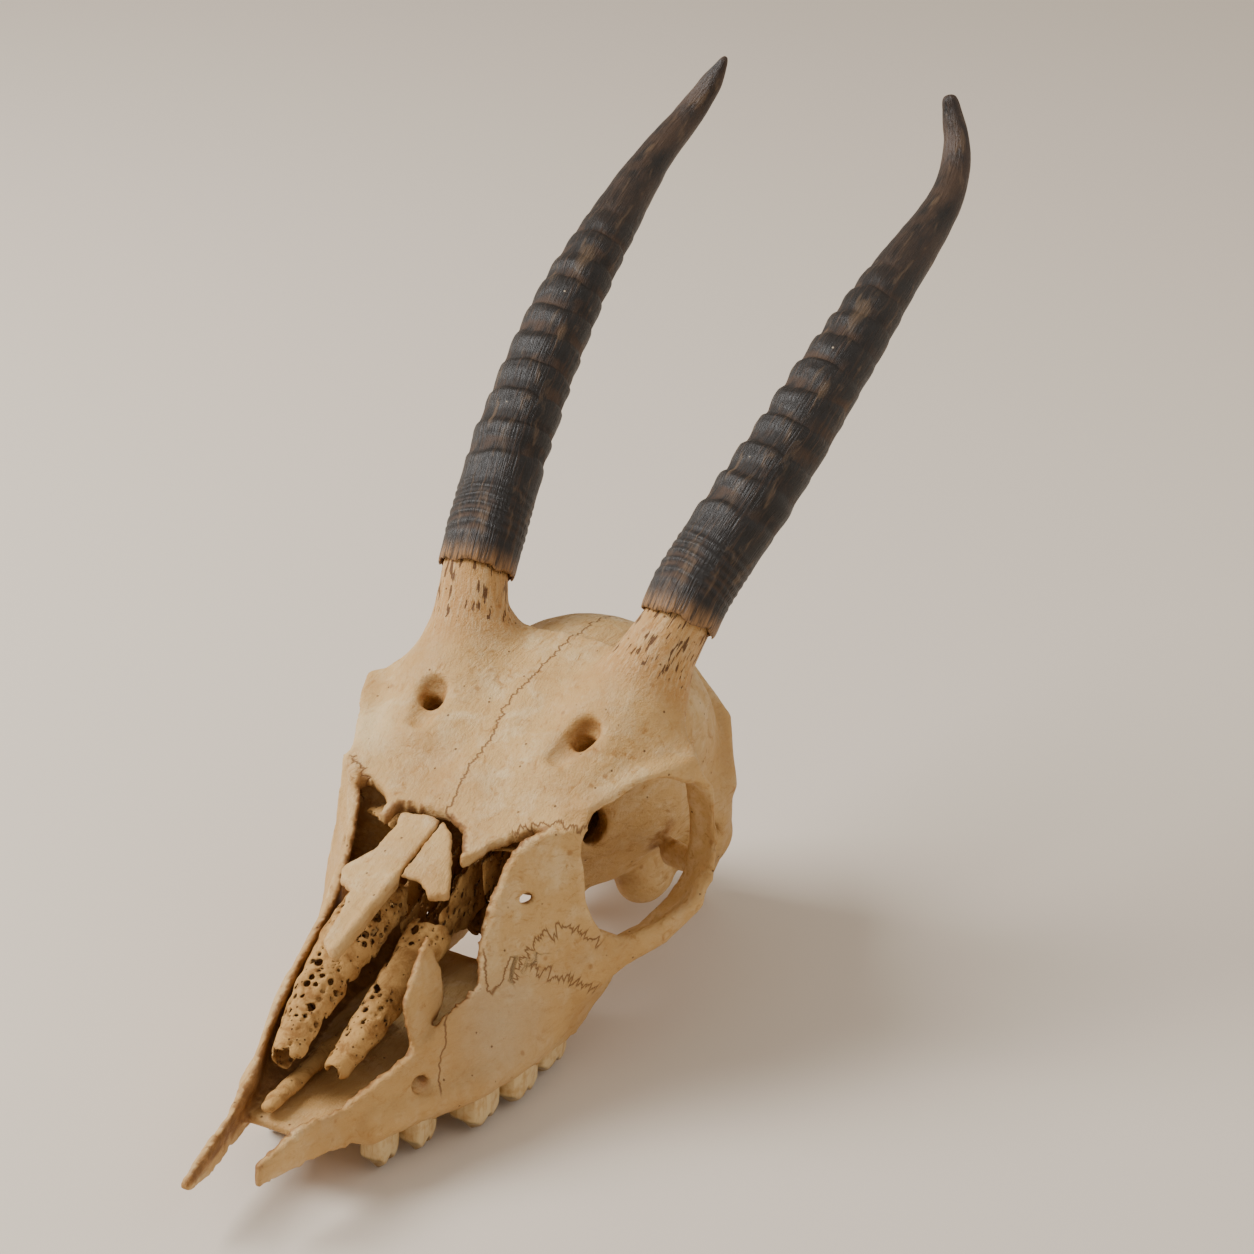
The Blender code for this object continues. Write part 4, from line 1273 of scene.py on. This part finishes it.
    def build_clay(self) -> Clay:
        """Shape the bone and cut its openings."""
        step = self.step
        clay = Clay((-48, -2, -1), (48, 175, 126), step)
        clay.add(self.brain, 2.0)
        for lump in self.middle:
            clay.add(lump, 5.0)
        brows = tuple((-x, y) for x, y in self.brow) + tuple(self.brow[::-1])
        forehead = tuple(self.forehead_front) + brows
        clay.add(Plate(forehead, self.shape.forehead, self.shape.forehead_half, Sheet.LEVEL,
                       ragged=0.55, seed=5), 3.5)
        for side in SIDES:
            for part, blend in self.sided_parts(side):
                clay.add(part, blend)
        clay.add(Plate(self.flap, self.shape.flap, 0.7, Sheet.UPRIGHT, ragged=0.5, seed=9), 1.0)
        clay.add(Plate(self.palate, self.shape.palate, self.wall, Sheet.LEVEL), 1.5)
        self.roughen(clay)
        self.open_holes(clay)
        return clay

    def open_holes(self, clay: Clay) -> None:
        """Cut the braincase, the nose, the eye sockets, the holes and the tooth sockets."""
        inner = tuple(radius - self.brain_wall for radius in self.brain.radii)
        clay.cut(Blob(self.brain.centre, inner), 1.0)
        clay.cut(self.nose_hollow, 1.5)
        clay.cut(self.spine_hole, 1.5)
        clay.cut(self.nose_passage, 1.0)
        for side in SIDES:
            for hollow in self.eye_hollows:
                clay.cut(hollow.sided(side), 1.6)
            for hole, blend in self.holes:
                clay.cut(hole.sided(side), blend)
            for tooth in CheekTeeth.sizes():
                clay.cut(tooth.socket().sided(side), 0.6)

    def roughen(self, clay: Clay) -> None:
        """Give the bone the soft unevenness of something grown."""
        near, points = clay.near_surface(2.5)
        relief = 0.3 * unevenness(points, 9.0, 3) + 0.12 * unevenness(points, 3.2, 4)
        clay.field[near] += relief.astype(np.float32)

    def paint(self, thing: bpy.types.Object, clay: Clay) -> None:
        """Store all that the finish reads."""
        points, normals = corners_of(thing), normals_of(thing)
        paint_hollows(thing, clay)
        x, y, z = points.T
        tone = np.zeros(len(points))
        for centre, radius, amount in self.tones:
            gap = ((points - np.array(centre)) ** 2).sum(axis=1)
            tone += amount * np.exp(-gap / radius**2)
        paint(thing, "tone", tone)
        grey_gap = ((points - np.array((24.0, 66.0, 22.0))) ** 2).sum(axis=1)
        paint(thing, "grey", 0.6 * np.exp(-grey_gap / 14.0**2))
        inward = -np.sign(x) * normals[:, 0]
        nose = ease((92.0 - y) / 8.0) * (z > 12.0) * (np.abs(x) < self.shape.cheek(y, z) + 0.2)
        paint(thing, "inner", np.where(inward > 0.15, nose, 0.0))
        self.paint_cores(thing, points)
        self.paint_seams(thing, points, normals)

    def paint_cores(self, thing: bpy.types.Object, points: Array) -> None:
        """Store where the horn cores are, and their coordinates as if straight."""
        core = np.zeros(len(points))
        rim = np.zeros(len(points))
        straight = np.zeros((len(points), 3))
        for side in SIDES:
            curve = Curve(horn_points(side))
            chosen = (points[:, 2] > 58.0) & (points[:, 0] * side > 4.0) & (points[:, 1] > 105.0)
            local = curve.straightened(points[chosen])
            distance = np.hypot(local[:, 0], local[:, 1])
            near = ease((13.0 - distance) / 4.0) * ease((local[:, 2] - 5.0) / 9.0)
            core[chosen] = near
            rim[chosen] = ease((local[:, 2] - 9.0) / 9.0)
            straight[chosen] = local * MM
        paint(thing, "core", core)
        paint(thing, "rim", rim)
        paint(thing, "straight", straight)

    def paint_seams(self, thing: bpy.types.Object, points: Array, normals: Array) -> None:
        """Store the distance along and across the nearest seam."""
        nearest = np.full(len(points), 1e9)
        where = np.zeros((len(points), 3))
        wave = np.zeros(len(points))
        run = 0.0
        for seam in self.seams:
            path = np.array(seam.path, float)
            for a, b in zip(path, path[1:]):
                length = np.linalg.norm(b - a)
                along = (b - a) / length
                gap = points - a
                far = gap @ along
                share = np.clip(far, 0.0, length)
                off = gap - share[:, None] * along
                distance = np.linalg.norm(off, axis=1)
                closer = distance < nearest
                beside = np.cross(normals, along)
                across = np.einsum("ij,ij->i", gap, beside)
                nearest[closer] = distance[closer]
                where[closer, 0] = (run + far)[closer]
                where[closer, 1] = across[closer]
                wave[closer] = seam.wave
                run += length
            run += 20.0
        paint(thing, "seam", where)
        paint(thing, "seam_wave", wave)
        paint(thing, "seam_near", ease((4.0 - nearest) / 1.5))

    def build(self) -> None:
        """Shape, skin and dress the skull."""
        clay = self.build_clay()
        thing = clay_piece("skull_bone", clay, self.triangles)
        self.paint(thing, clay)
        hand_over(thing, self.finish.material(), Slot.BONE, "skull")


@dataclass(frozen=True)
class Tooth:
    """Sizes of one cheek tooth: place along the jaw, length, width, place across."""

    name: str
    middle_y: float
    length: float
    width: float
    middle_x: float

    def socket(self) -> Limb:
        """Space for the tooth in the jaw."""
        path = ((self.middle_x, self.middle_y, -6.0), (self.middle_x, self.middle_y, 9.6))
        return Limb(path, self.length / 2 + 0.25, self.width / 2 + 0.25, ALONG)


@dataclass
class CheekTeeth:
    """Two premolars and three molars on each side, with crescent-shaped cusps."""

    finish: ToothEnamel
    top: float = 11.4
    neck: float = 8.2
    cuts: int = 11

    @staticmethod
    def sizes() -> Sequence[Tooth]:
        """The five teeth of one side, from front to back."""
        return (
            Tooth("premolar_front", 40.5, 8.0, 6.0, 11.6),
            Tooth("premolar_back", 49.3, 7.6, 6.6, 14.4),
            Tooth("molar_front", 62.3, 10.6, 8.2, 19.6),
            Tooth("molar_middle", 74.2, 11.0, 8.6, 21.2),
            Tooth("molar_back", 87.0, 11.4, 8.2, 20.8),
        )

    def rough_block(self, name: str) -> bpy.types.Object:
        """Block of fine squares, two units long each way."""
        deselect_all()
        bpy.ops.mesh.primitive_cube_add(size=2.0)
        thing = bpy.context.object
        thing.name = thing.data.name = name
        bpy.ops.object.mode_set(mode="EDIT")
        bpy.ops.mesh.select_all(action="SELECT")
        bpy.ops.mesh.subdivide(number_cuts=self.cuts)
        bpy.ops.object.mode_set(mode="OBJECT")
        return thing

    def shape_tooth(self, thing: bpy.types.Object, tooth: Tooth, side: int) -> None:
        """Carve the crown, the ribs of the outer face and the worn cusps.

        Args:
            thing: Block to carve.
            tooth: Sizes of the tooth.
            side: 1 for the left, -1 for the right.
        """
        flat = np.zeros(len(thing.data.vertices) * 3)
        thing.data.vertices.foreach_get("co", flat)
        u, v, w = flat.reshape(-1, 3).T
        swell = np.sqrt(1.0 - 0.28 * np.abs(u) ** 2.5 * v**2)
        outer = 1.0 - 0.16 * np.cos(np.pi * v * 2.0) ** 2 * (np.abs(v) < 0.98)
        inner = 1.0 - 0.34 * np.exp(-((v / 0.22) ** 2)) - 0.25 * v**6
        across = np.where(u > 0, u * (1.0 - 0.2 + 0.2 * outer), u * inner) * swell
        along = v * (1.0 - 0.12 * u * u)
        rise = 0.5 * (1.0 + w)
        height = self.top * rise
        cusp = 0.5 - 0.5 * np.cos(2.0 * np.pi * v)
        ridge = 1.0 - np.abs(u - 0.35) / 1.35
        lowest = 3.2 - 3.2 * cusp * ridge
        pit = np.exp(-(((np.abs(v) - 0.5) / 0.18) ** 2) - ((u + 0.15) / 0.25) ** 2)
        lowest = lowest + 1.1 * pit
        height = lowest + (self.top - lowest) * rise
        share = np.interp(height, (0.0, 3.0, self.neck, self.top), (0.8, 0.96, 1.0, 0.78))
        x = tooth.middle_x + across * share * tooth.width / 2
        y = tooth.middle_y + along * share * tooth.length / 2
        points = np.stack([side * x, y, height], axis=1)
        draw = unevenness(points, 1.7, int(tooth.middle_y) + 5 * side)
        points[:, 0] += 0.18 * draw
        points[:, 2] = np.maximum(points[:, 2] + 0.15 * draw, 0.0)
        set_corners(thing, points)
        paint(thing, "low", 1.0 - np.clip(height / self.neck, 0.0, 1.0))
        paint(thing, "valley", np.clip(pit * (w < -0.9) + 0.6 * (1 - cusp) * (w < -0.95), 0, 1))

    def build(self) -> None:
        """Carve and dress all ten teeth."""
        finish = self.finish.material()
        for side, word in ((1, "left"), (-1, "right")):
            for tooth in self.sizes():
                name = f"{tooth.name}_{word}"
                thing = self.rough_block(f"{name}_crown")
                self.shape_tooth(thing, tooth, side)
                if side < 0:
                    thing.data.flip_normals()
                apply_modifier(thing, "SUBSURF", levels=1, render_levels=1)
                hand_over(thing, finish, Slot.TOOTH, name)


# Horns


@dataclass
class HornSheaths:
    """Two ringed sheaths, hollow over the bony cores."""

    finish: HornKeratin
    shares: Sequence[float] = (0.0, 0.06, 0.2, 0.4, 0.5, 0.58, 0.66, 0.73, 0.8, 0.85, 0.9, 0.95, 1.0)
    radii: Sequence[float] = (8.3, 8.5, 8.35, 7.5, 6.9, 6.2, 5.5, 4.8, 4.0, 3.6, 3.2, 2.6)
    left_tip: float = 1.5
    right_tip: float = 0.7
    sides: int = 24
    stations: int = 96
    bore_share: float = 0.5
    bore_stations: int = 7
    core_gap: float = 0.9
    wall: float = 0.75
    base_rings: int = 6
    base_start: float = 0.03
    base_end: float = 0.115
    base_swell: float = 0.16
    big_rings: int = 11
    big_end: float = 0.68
    big_swell: float = 0.85
    crowding: float = 0.94

    def radius(self, share: Array, tip: float) -> Array:
        """Radius of the smooth horn at shares of its length."""
        return np.interp(share, self.shares, (*self.radii, tip))

    def relief(self, share: Array, turn: Array, side: int) -> Array:
        """How far the rings stand out.

        Args:
            share: Share of the horn's length.
            turn: Angle round the horn, 0 at its front.
            side: 1 for the left, -1 for the right.

        Returns:
            Height of the relief in millimetres.
        """
        around = np.stack([np.cos(turn), np.sin(turn), share * 30.0], axis=1)
        drift = unevenness(around, 0.9, 21 + side) + 0.5 * unevenness(around, 0.35, 23)
        front = 0.62 + 0.38 * np.cos(turn + 0.5 * side)
        base = (share - self.base_start) / (self.base_end - self.base_start)
        phase = base * self.base_rings + 0.35 * drift
        small = self.base_swell * np.sin(phase * math.tau) * (0.7 + 0.3 * np.cos(turn))
        small *= ease(base * 4.0) * ease((1.12 - base) * 6.0)
        big = np.clip((share - self.base_end) / (self.big_end - self.base_end), 0.0, 1.2)
        phase = self.big_rings * big ** (1.0 / self.crowding) + 0.13 * drift + 0.12 * np.cos(turn)
        part = phase - np.floor(phase)
        cup = ease(part / 0.72) ** 1.2 * ease((1.0 - part) / 0.2) - 0.42
        fade = ease(big * 8.0) * ease((1.04 - big) * 4.0) * (1.0 - 0.45 * np.clip(big, 0, 1))
        return small + self.big_swell * cup * fade * front + 0.1 * drift

    def rough_tube(self, name: str, curve: Curve, tip: float) -> bpy.types.Object:
        """Tube from the end of the bore, round the rim and up to the tip, by extrusion.

        Args:
            name: Name of the piece.
            curve: Centre line.
            tip: Radius at the tip.

        Returns:
            The closed smooth tube.
        """
        core = np.array(horn_points(1, RIM_POINT)[: CORE_POINTS - RIM_POINT])
        core_length = np.r_[0.0, np.cumsum(np.linalg.norm(np.diff(core, axis=0), axis=1))]
        rings = []
        for share in np.linspace(self.bore_share, 0.0, self.bore_stations):
            room = np.interp(share * curve.length, core_length, CORE_RADII[RIM_POINT:])
            widest = self.radius(share, tip) - self.wall
            reach = 0.8 if share == self.bore_share else min(room + self.core_gap, widest)
            rings.append((share, float(reach)))
        rings.append((0.0, float(self.radius(0.0, tip)) - 0.3))
        rings.append((0.004, float(self.radius(0.0, tip))))
        for share in np.linspace(0.012, 0.992, self.stations):
            rings.append((float(share), float(self.radius(share, tip))))
        rings.append((0.998, 0.6 * tip))
        centres = curve.read(curve.points, np.array([s for s, _ in rings]) * curve.length)
        along = unit(curve.read(curve.along, np.array([s for s, _ in rings]) * curve.length))
        spots = [Vector(spot) for spot in place(centres)]
        deselect_all()
        bpy.ops.mesh.primitive_circle_add(
            vertices=self.sides, radius=rings[0][1] * MM, fill_type="NGON", location=spots[0],
            rotation=Vector(along[0]).to_track_quat("Z", "Y").to_euler(),
        )
        thing = bpy.context.object
        thing.name = thing.data.name = name
        bpy.ops.object.transform_apply(location=True, rotation=True, scale=True)
        bpy.ops.object.mode_set(mode="EDIT")
        bpy.ops.mesh.select_all(action="SELECT")
        for k in range(1, len(rings)):
            bpy.ops.mesh.extrude_region_move(
                TRANSFORM_OT_translate={"value": spots[k] - spots[k - 1]}
            )
            size = rings[k][1] / rings[k - 1][1]
            bpy.ops.transform.resize(value=(size, size, size), center_override=spots[k])
        bpy.ops.object.mode_set(mode="OBJECT")
        self.true_up(thing, curve, rings)
        return thing

    def true_up(self, thing: bpy.types.Object, curve: Curve, rings: list[Flat]) -> None:
        """Turn each extruded ring square to the centre line.

        Args:
            thing: The extruded tube.
            curve: Centre line.
            rings: Share of the length and radius of each ring.
        """
        points = corners_of(thing)
        number = np.arange(len(points)) // self.sides
        distance = np.array([share for share, _ in rings])[number] * curve.length
        reach = np.array([radius for _, radius in rings])[number, None]
        centres = curve.read(curve.points, distance)
        front = unit(curve.read(curve.front, distance))
        beside = unit(curve.read(curve.side, distance))
        offset = points - centres
        turn = np.arctan2(offset @ beside[0], offset @ front[0])[:, None]
        set_corners(thing, centres + reach * (front * np.cos(turn) + beside * np.sin(turn)))

    def carve(self, thing: bpy.types.Object, curve: Curve, tip: float, side: int) -> None:
        """Raise the rings, fray the rim and store what the finish reads."""
        points, normals = corners_of(thing), normals_of(thing)
        local = curve.straightened(points)
        front, beside, distance = local.T
        share = np.clip(distance / curve.length, 0.0, 1.0)
        reach = np.hypot(front, beside)
        turn = np.arctan2(beside, front)
        smooth = self.radius(share, tip)
        outside = ease((reach - smooth + 0.7) / 0.5)
        raised = self.relief(share, turn, side) * outside
        outward = unit(points - curve.read(curve.points, distance) + 1e-9)
        points = points + outward * raised[:, None]
        fray = unevenness(np.stack([np.cos(turn), np.sin(turn), 0 * turn], axis=1), 0.16, 31 + side)
        along = unit(curve.read(curve.along, distance))
        points -= along * (0.7 * fray * ease((0.02 - share) / 0.02))[:, None]
        set_corners(thing, points)
        paint(thing, "straight", local * MM)
        paint(thing, "share", share)
        paint(thing, "raised", raised * 2.0)
        paint(thing, "rim", ease((0.035 - share) / 0.03))

    def build(self) -> None:
        """Make, carve and dress both sheaths."""
        finish = self.finish.material()
        for side, word, tip in ((1, "left", self.left_tip), (-1, "right", self.right_tip)):
            curve = Curve(horn_points(side, RIM_POINT))
            thing = self.rough_tube(f"sheath_{word}_horn", curve, tip)
            apply_modifier(thing, "SUBSURF", levels=2, render_levels=2)
            self.carve(thing, curve, tip, side)
            hand_over(thing, finish, Slot.HORN, f"horn_sheath_{word}")


# Bones of the nose


@dataclass
class NoseBones:
    """Broken nose bones, loose along their seams."""

    finish: DryBone
    shape: FaceShape = field(default_factory=FaceShape)
    left: Sequence[Flat] = (
        (0.4, 81.6), (3.6, 79.4), (7.6, 73.0), (11.4, 66.2), (8.1, 63.8), (6.3, 65.6),
        (3.9, 66.7), (0.4, 66.4),
    )
    right: Sequence[Flat] = (
        (-0.2, 81.8), (-9.6, 81.8), (-8.6, 78.4), (-8.9, 71.3), (-13.6, 66.6), (-11.0, 62.0),
        (-7.2, 60.0), (-6.4, 56.5), (-4.6, 46.4), (-3.4, 45.4), (-0.4, 43.6), (-0.2, 66.2),
    )
    step: float = 0.38

    def build(self) -> None:
        """Shape and dress both nose bones."""
        finish = self.finish.material()
        for word, outline, seed in (("left", self.left, 41), ("right", self.right, 43)):
            low, high = np.min(outline, axis=0) - 2.0, np.max(outline, axis=0) + 2.0
            clay = Clay((low[0], low[1], 34.0), (high[0], high[1], 57.0), self.step)
            plate = Plate(outline, self.shape.nasal, 0.75, Sheet.LEVEL, ragged=0.35, seed=seed)
            clay.add(plate, 0.5)
            if word == "right":
                clay.add(Limb(((-0.9, 66.0, 46.6), (-1.3, 45.0, 40.2)), 1.9, 0.6), 1.2)
            near, points = clay.near_surface(1.5)
            clay.field[near] += (0.16 * unevenness(points, 3.0, seed)).astype(np.float32)
            thing = clay_piece(f"nose_bone_{word}", clay, 60000)
            paint_hollows(thing, clay)
            paint(thing, "tone", np.full(len(thing.data.vertices), 0.15))
            hand_over(thing, finish, Slot.BONE, f"nasal_{word}")


@dataclass
class NoseScrolls:
    """Curled porous bones inside the nose and the bar along its floor."""

    finish: ThinBone
    step: float = 0.36
    right: Sequence[Point] = (
        (-6.8, 70.0, 39.0), (-6.8, 58.0, 34.0), (-6.4, 46.0, 28.6), (-5.0, 35.0, 23.0),
    )
    right_radii: Sequence[float] = (6.0, 6.0, 4.6, 3.6)
    left: Sequence[Point] = (
        (5.4, 68.0, 34.5), (5.2, 58.0, 30.0), (4.8, 47.0, 25.0), (4.0, 38.0, 21.0),
    )
    left_radii: Sequence[float] = (4.6, 4.2, 3.4, 2.6)
    wall: float = 1.1
    vomer: Limb = Limb(
        ((-3.2, 25.0, 16.6), (-4.4, 44.0, 16.6), (-3.4, 64.0, 17.4)),
        (1.2, 1.7, 2.0), (1.6, 2.0, 1.6),
    )

    leaves: Sequence[Limb] = (
        Limb(((7.6, 70, 36), (7.4, 80, 39), (6.8, 91, 42)), (5.0, 6.5, 6.0), 0.55),
        Limb(((3.0, 72, 31), (3.6, 82, 35), (3.0, 92, 38)), (5.0, 6.5, 6.5), 0.45),
        Limb(((-1.0, 70, 30), (-0.6, 92, 36)), (6.0, 8.0), 0.5),
        Limb(((-5.0, 76, 36), (-4.4, 84, 38), (-4.8, 92, 40)), (5.0, 6.0, 6.0), 0.45),
        Limb(((-9.6, 78, 40), (-9.0, 90, 42)), (5.5, 6.0), 0.5),
        Limb(((11.0, 80, 44), (10.4, 90, 45)), (4.0, 4.6), 0.45),
        Limb(((-10, 89, 32), (0, 91.5, 32), (10, 89, 32)), 8.5, 0.7),
        Limb(((9.0, 83, 49.5), (13.0, 85.5, 49.5), (17.0, 86.5, 49.5)), 2.2, 0.45, ALONG),
        Limb(((-18.0, 86.0, 49.0), (-13.0, 84.5, 49.5), (-10.0, 82.0, 48.5)), 2.4, 0.45, ALONG),
    )

    def leaf_clay(self) -> Clay:
        """Crumbling leaves of bone deep in the nose, behind the broken forehead."""
        clay = Clay((-20, 62, 21), (20, 96, 53), self.step)
        for leaf in self.leaves:
            clay.add(leaf, 0.4)
        near, points = clay.near_surface(1.5)
        pores = pore_distance(points, 2.3, 81) - 0.72
        torn = 0.35 * unevenness(points, 2.4, 83)
        clay.field[near] = np.maximum(clay.field[near] + torn, -pores)
        return clay

    def scroll(self, side: int) -> Clay:
        """Tube open along one side, full of pores."""
        path, radii = (self.left, self.left_radii) if side > 0 else (self.right, self.right_radii)
        outer = Limb(tuple(path), radii, radii)
        low, high = outer.bounds()
        clay = Clay(tuple(low - 2.0), tuple(high + 2.0), self.step)
        clay.add(outer, 0.5)
        inner = tuple(radius - self.wall for radius in radii)
        longer = (tuple(2 * np.array(path[0]) - path[1]), *path, tuple(2 * np.array(path[-1]) - path[-2]))
        clay.cut(Limb(longer, (inner[0], *inner, inner[-1]), (inner[0], *inner, inner[-1])), 0.6)
        mouth = tuple((x - side * 3.2, y, z - 3.4) for x, y, z in longer)
        clay.cut(Limb(mouth, 3.0, 3.0), 0.6)
        near, points = clay.near_surface(2.0)
        pores = pore_distance(points, 1.55, 61 + side) - 0.62
        ends = unevenness(points, 2.2, 63) * 0.35
        spongy = ease((unevenness(points, 6.0, 65) + 0.65) / 0.6)
        clay.field[near] = np.maximum(clay.field[near], -pores * spongy - 2.0 * (1 - spongy)) + ends
        return clay

    def build(self) -> None:
        """Shape and dress the scrolls and the bar."""
        finish = self.finish.material()
        for side, word in ((1, "left"), (-1, "right")):
            clay = self.scroll(side)
            thing = clay_piece(f"nose_scroll_{word}", clay, 150000)
            paint_hollows(thing, clay)
            hand_over(thing, finish, Slot.THIN_BONE, f"turbinate_{word}")
        clay = self.leaf_clay()
        thing = clay_piece("nose_leaves", clay, 120000)
        paint_hollows(thing, clay)
        hand_over(thing, finish, Slot.THIN_BONE)
        low, high = self.vomer.bounds()
        clay = Clay(tuple(low - 2.0), tuple(high + 2.0), self.step)
        clay.add(self.vomer, 0.5)
        near, points = clay.near_surface(1.5)
        clay.field[near] += (0.3 * unevenness(points, 2.5, 71)).astype(np.float32)
        thing = clay_piece("nose_floor_bar", clay, 40000)
        paint_hollows(thing, clay)
        hand_over(thing, finish, Slot.THIN_BONE, "vomer")


# Studio


@dataclass
class Studio:
    """Paper floor, soft light from the upper left, and the camera."""

    finish: StudioPaper
    eye: Point = (0.30133709, -0.53715851, 0.36325876)
    right: Point = (0.87667954, 0.48008689, 0.03081483)
    up: Point = (-0.22599548, 0.35444755, 0.90735493)
    forward: Point = (-0.42468697, 0.80242352, -0.41923439)
    lens: float = 94.82
    sensor: float = 36.0
    floor_size: float = 12.0
    world_strength: float = 0.55
    key_power: float = 16.0
    key_size: float = 0.55
    fill_power: float = 3.0

    def add_floor(self) -> None:
        """Flat paper floor."""
        deselect_all()
        bpy.ops.mesh.primitive_plane_add(size=self.floor_size, location=(0, 0, 0))
        floor = bpy.context.object
        floor.name = floor.data.name = "paper_floor"
        bpy.ops.object.mode_set(mode="EDIT")
        bpy.ops.mesh.select_all(action="SELECT")
        bpy.ops.mesh.subdivide(number_cuts=8)
        bpy.ops.object.mode_set(mode="OBJECT")
        floor.data.materials.append(self.finish.material())

    def add_camera(self) -> None:
        """Camera at the angle of the photograph."""
        data = bpy.data.cameras.new("camera")
        data.lens, data.sensor_width = self.lens, self.sensor
        data.clip_start, data.clip_end = 0.01, 50.0
        camera = bpy.data.objects.new("camera", data)
        bpy.context.collection.objects.link(camera)
        back = -Vector(self.forward)
        turn = Matrix((self.right, self.up, back)).transposed().to_4x4()
        camera.matrix_world = Matrix.Translation(self.eye) @ turn
        bpy.context.scene.camera = camera

    def add_light(self, name: str, spot: Vector, aim: Vector, size: float, power: float) -> None:
        """One soft square light that points at a place."""
        data = bpy.data.lights.new(name, "AREA")
        data.size, data.energy = size, power
        light = bpy.data.objects.new(name, data)
        bpy.context.collection.objects.link(light)
        light.location = spot
        light.rotation_euler = (aim - spot).to_track_quat("-Z", "Y").to_euler()

    def build(self) -> None:
        """Set up floor, lights, surroundings and camera."""
        self.add_floor()
        self.add_camera()
        right, up = Vector(self.right), Vector(self.up)
        back = -Vector(self.forward)
        middle = Vector((0.0, 0.0, 0.05))
        key = middle - right * 0.75 + up * 0.75 + back * 0.25
        fill = middle + right * 0.9 + up * 0.5 + back * 0.5
        self.add_light("key_light", key, middle, self.key_size, self.key_power)
        self.add_light("fill_light", fill, middle, 1.2, self.fill_power)
        world = bpy.data.worlds.new("soft_room")
        world.use_nodes = True
        room = world.node_tree.nodes["Background"]
        room.inputs["Color"].default_value = linear("#F6EBDD")
        room.inputs["Strength"].default_value = self.world_strength
        bpy.context.scene.world = world


def main() -> None:
    """Build every sub-assembly in order."""
    logging.basicConfig(level=logging.INFO, format="%(name)s %(message)s")
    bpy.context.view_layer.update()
    bone = DryBone()
    SkullBone(bone).build()
    HornSheaths(HornKeratin()).build()
    CheekTeeth(ToothEnamel()).build()
    NoseBones(bone).build()
    NoseScrolls(ThinBone()).build()
    Studio(StudioPaper()).build()


if __name__ == "__main__":
    main()
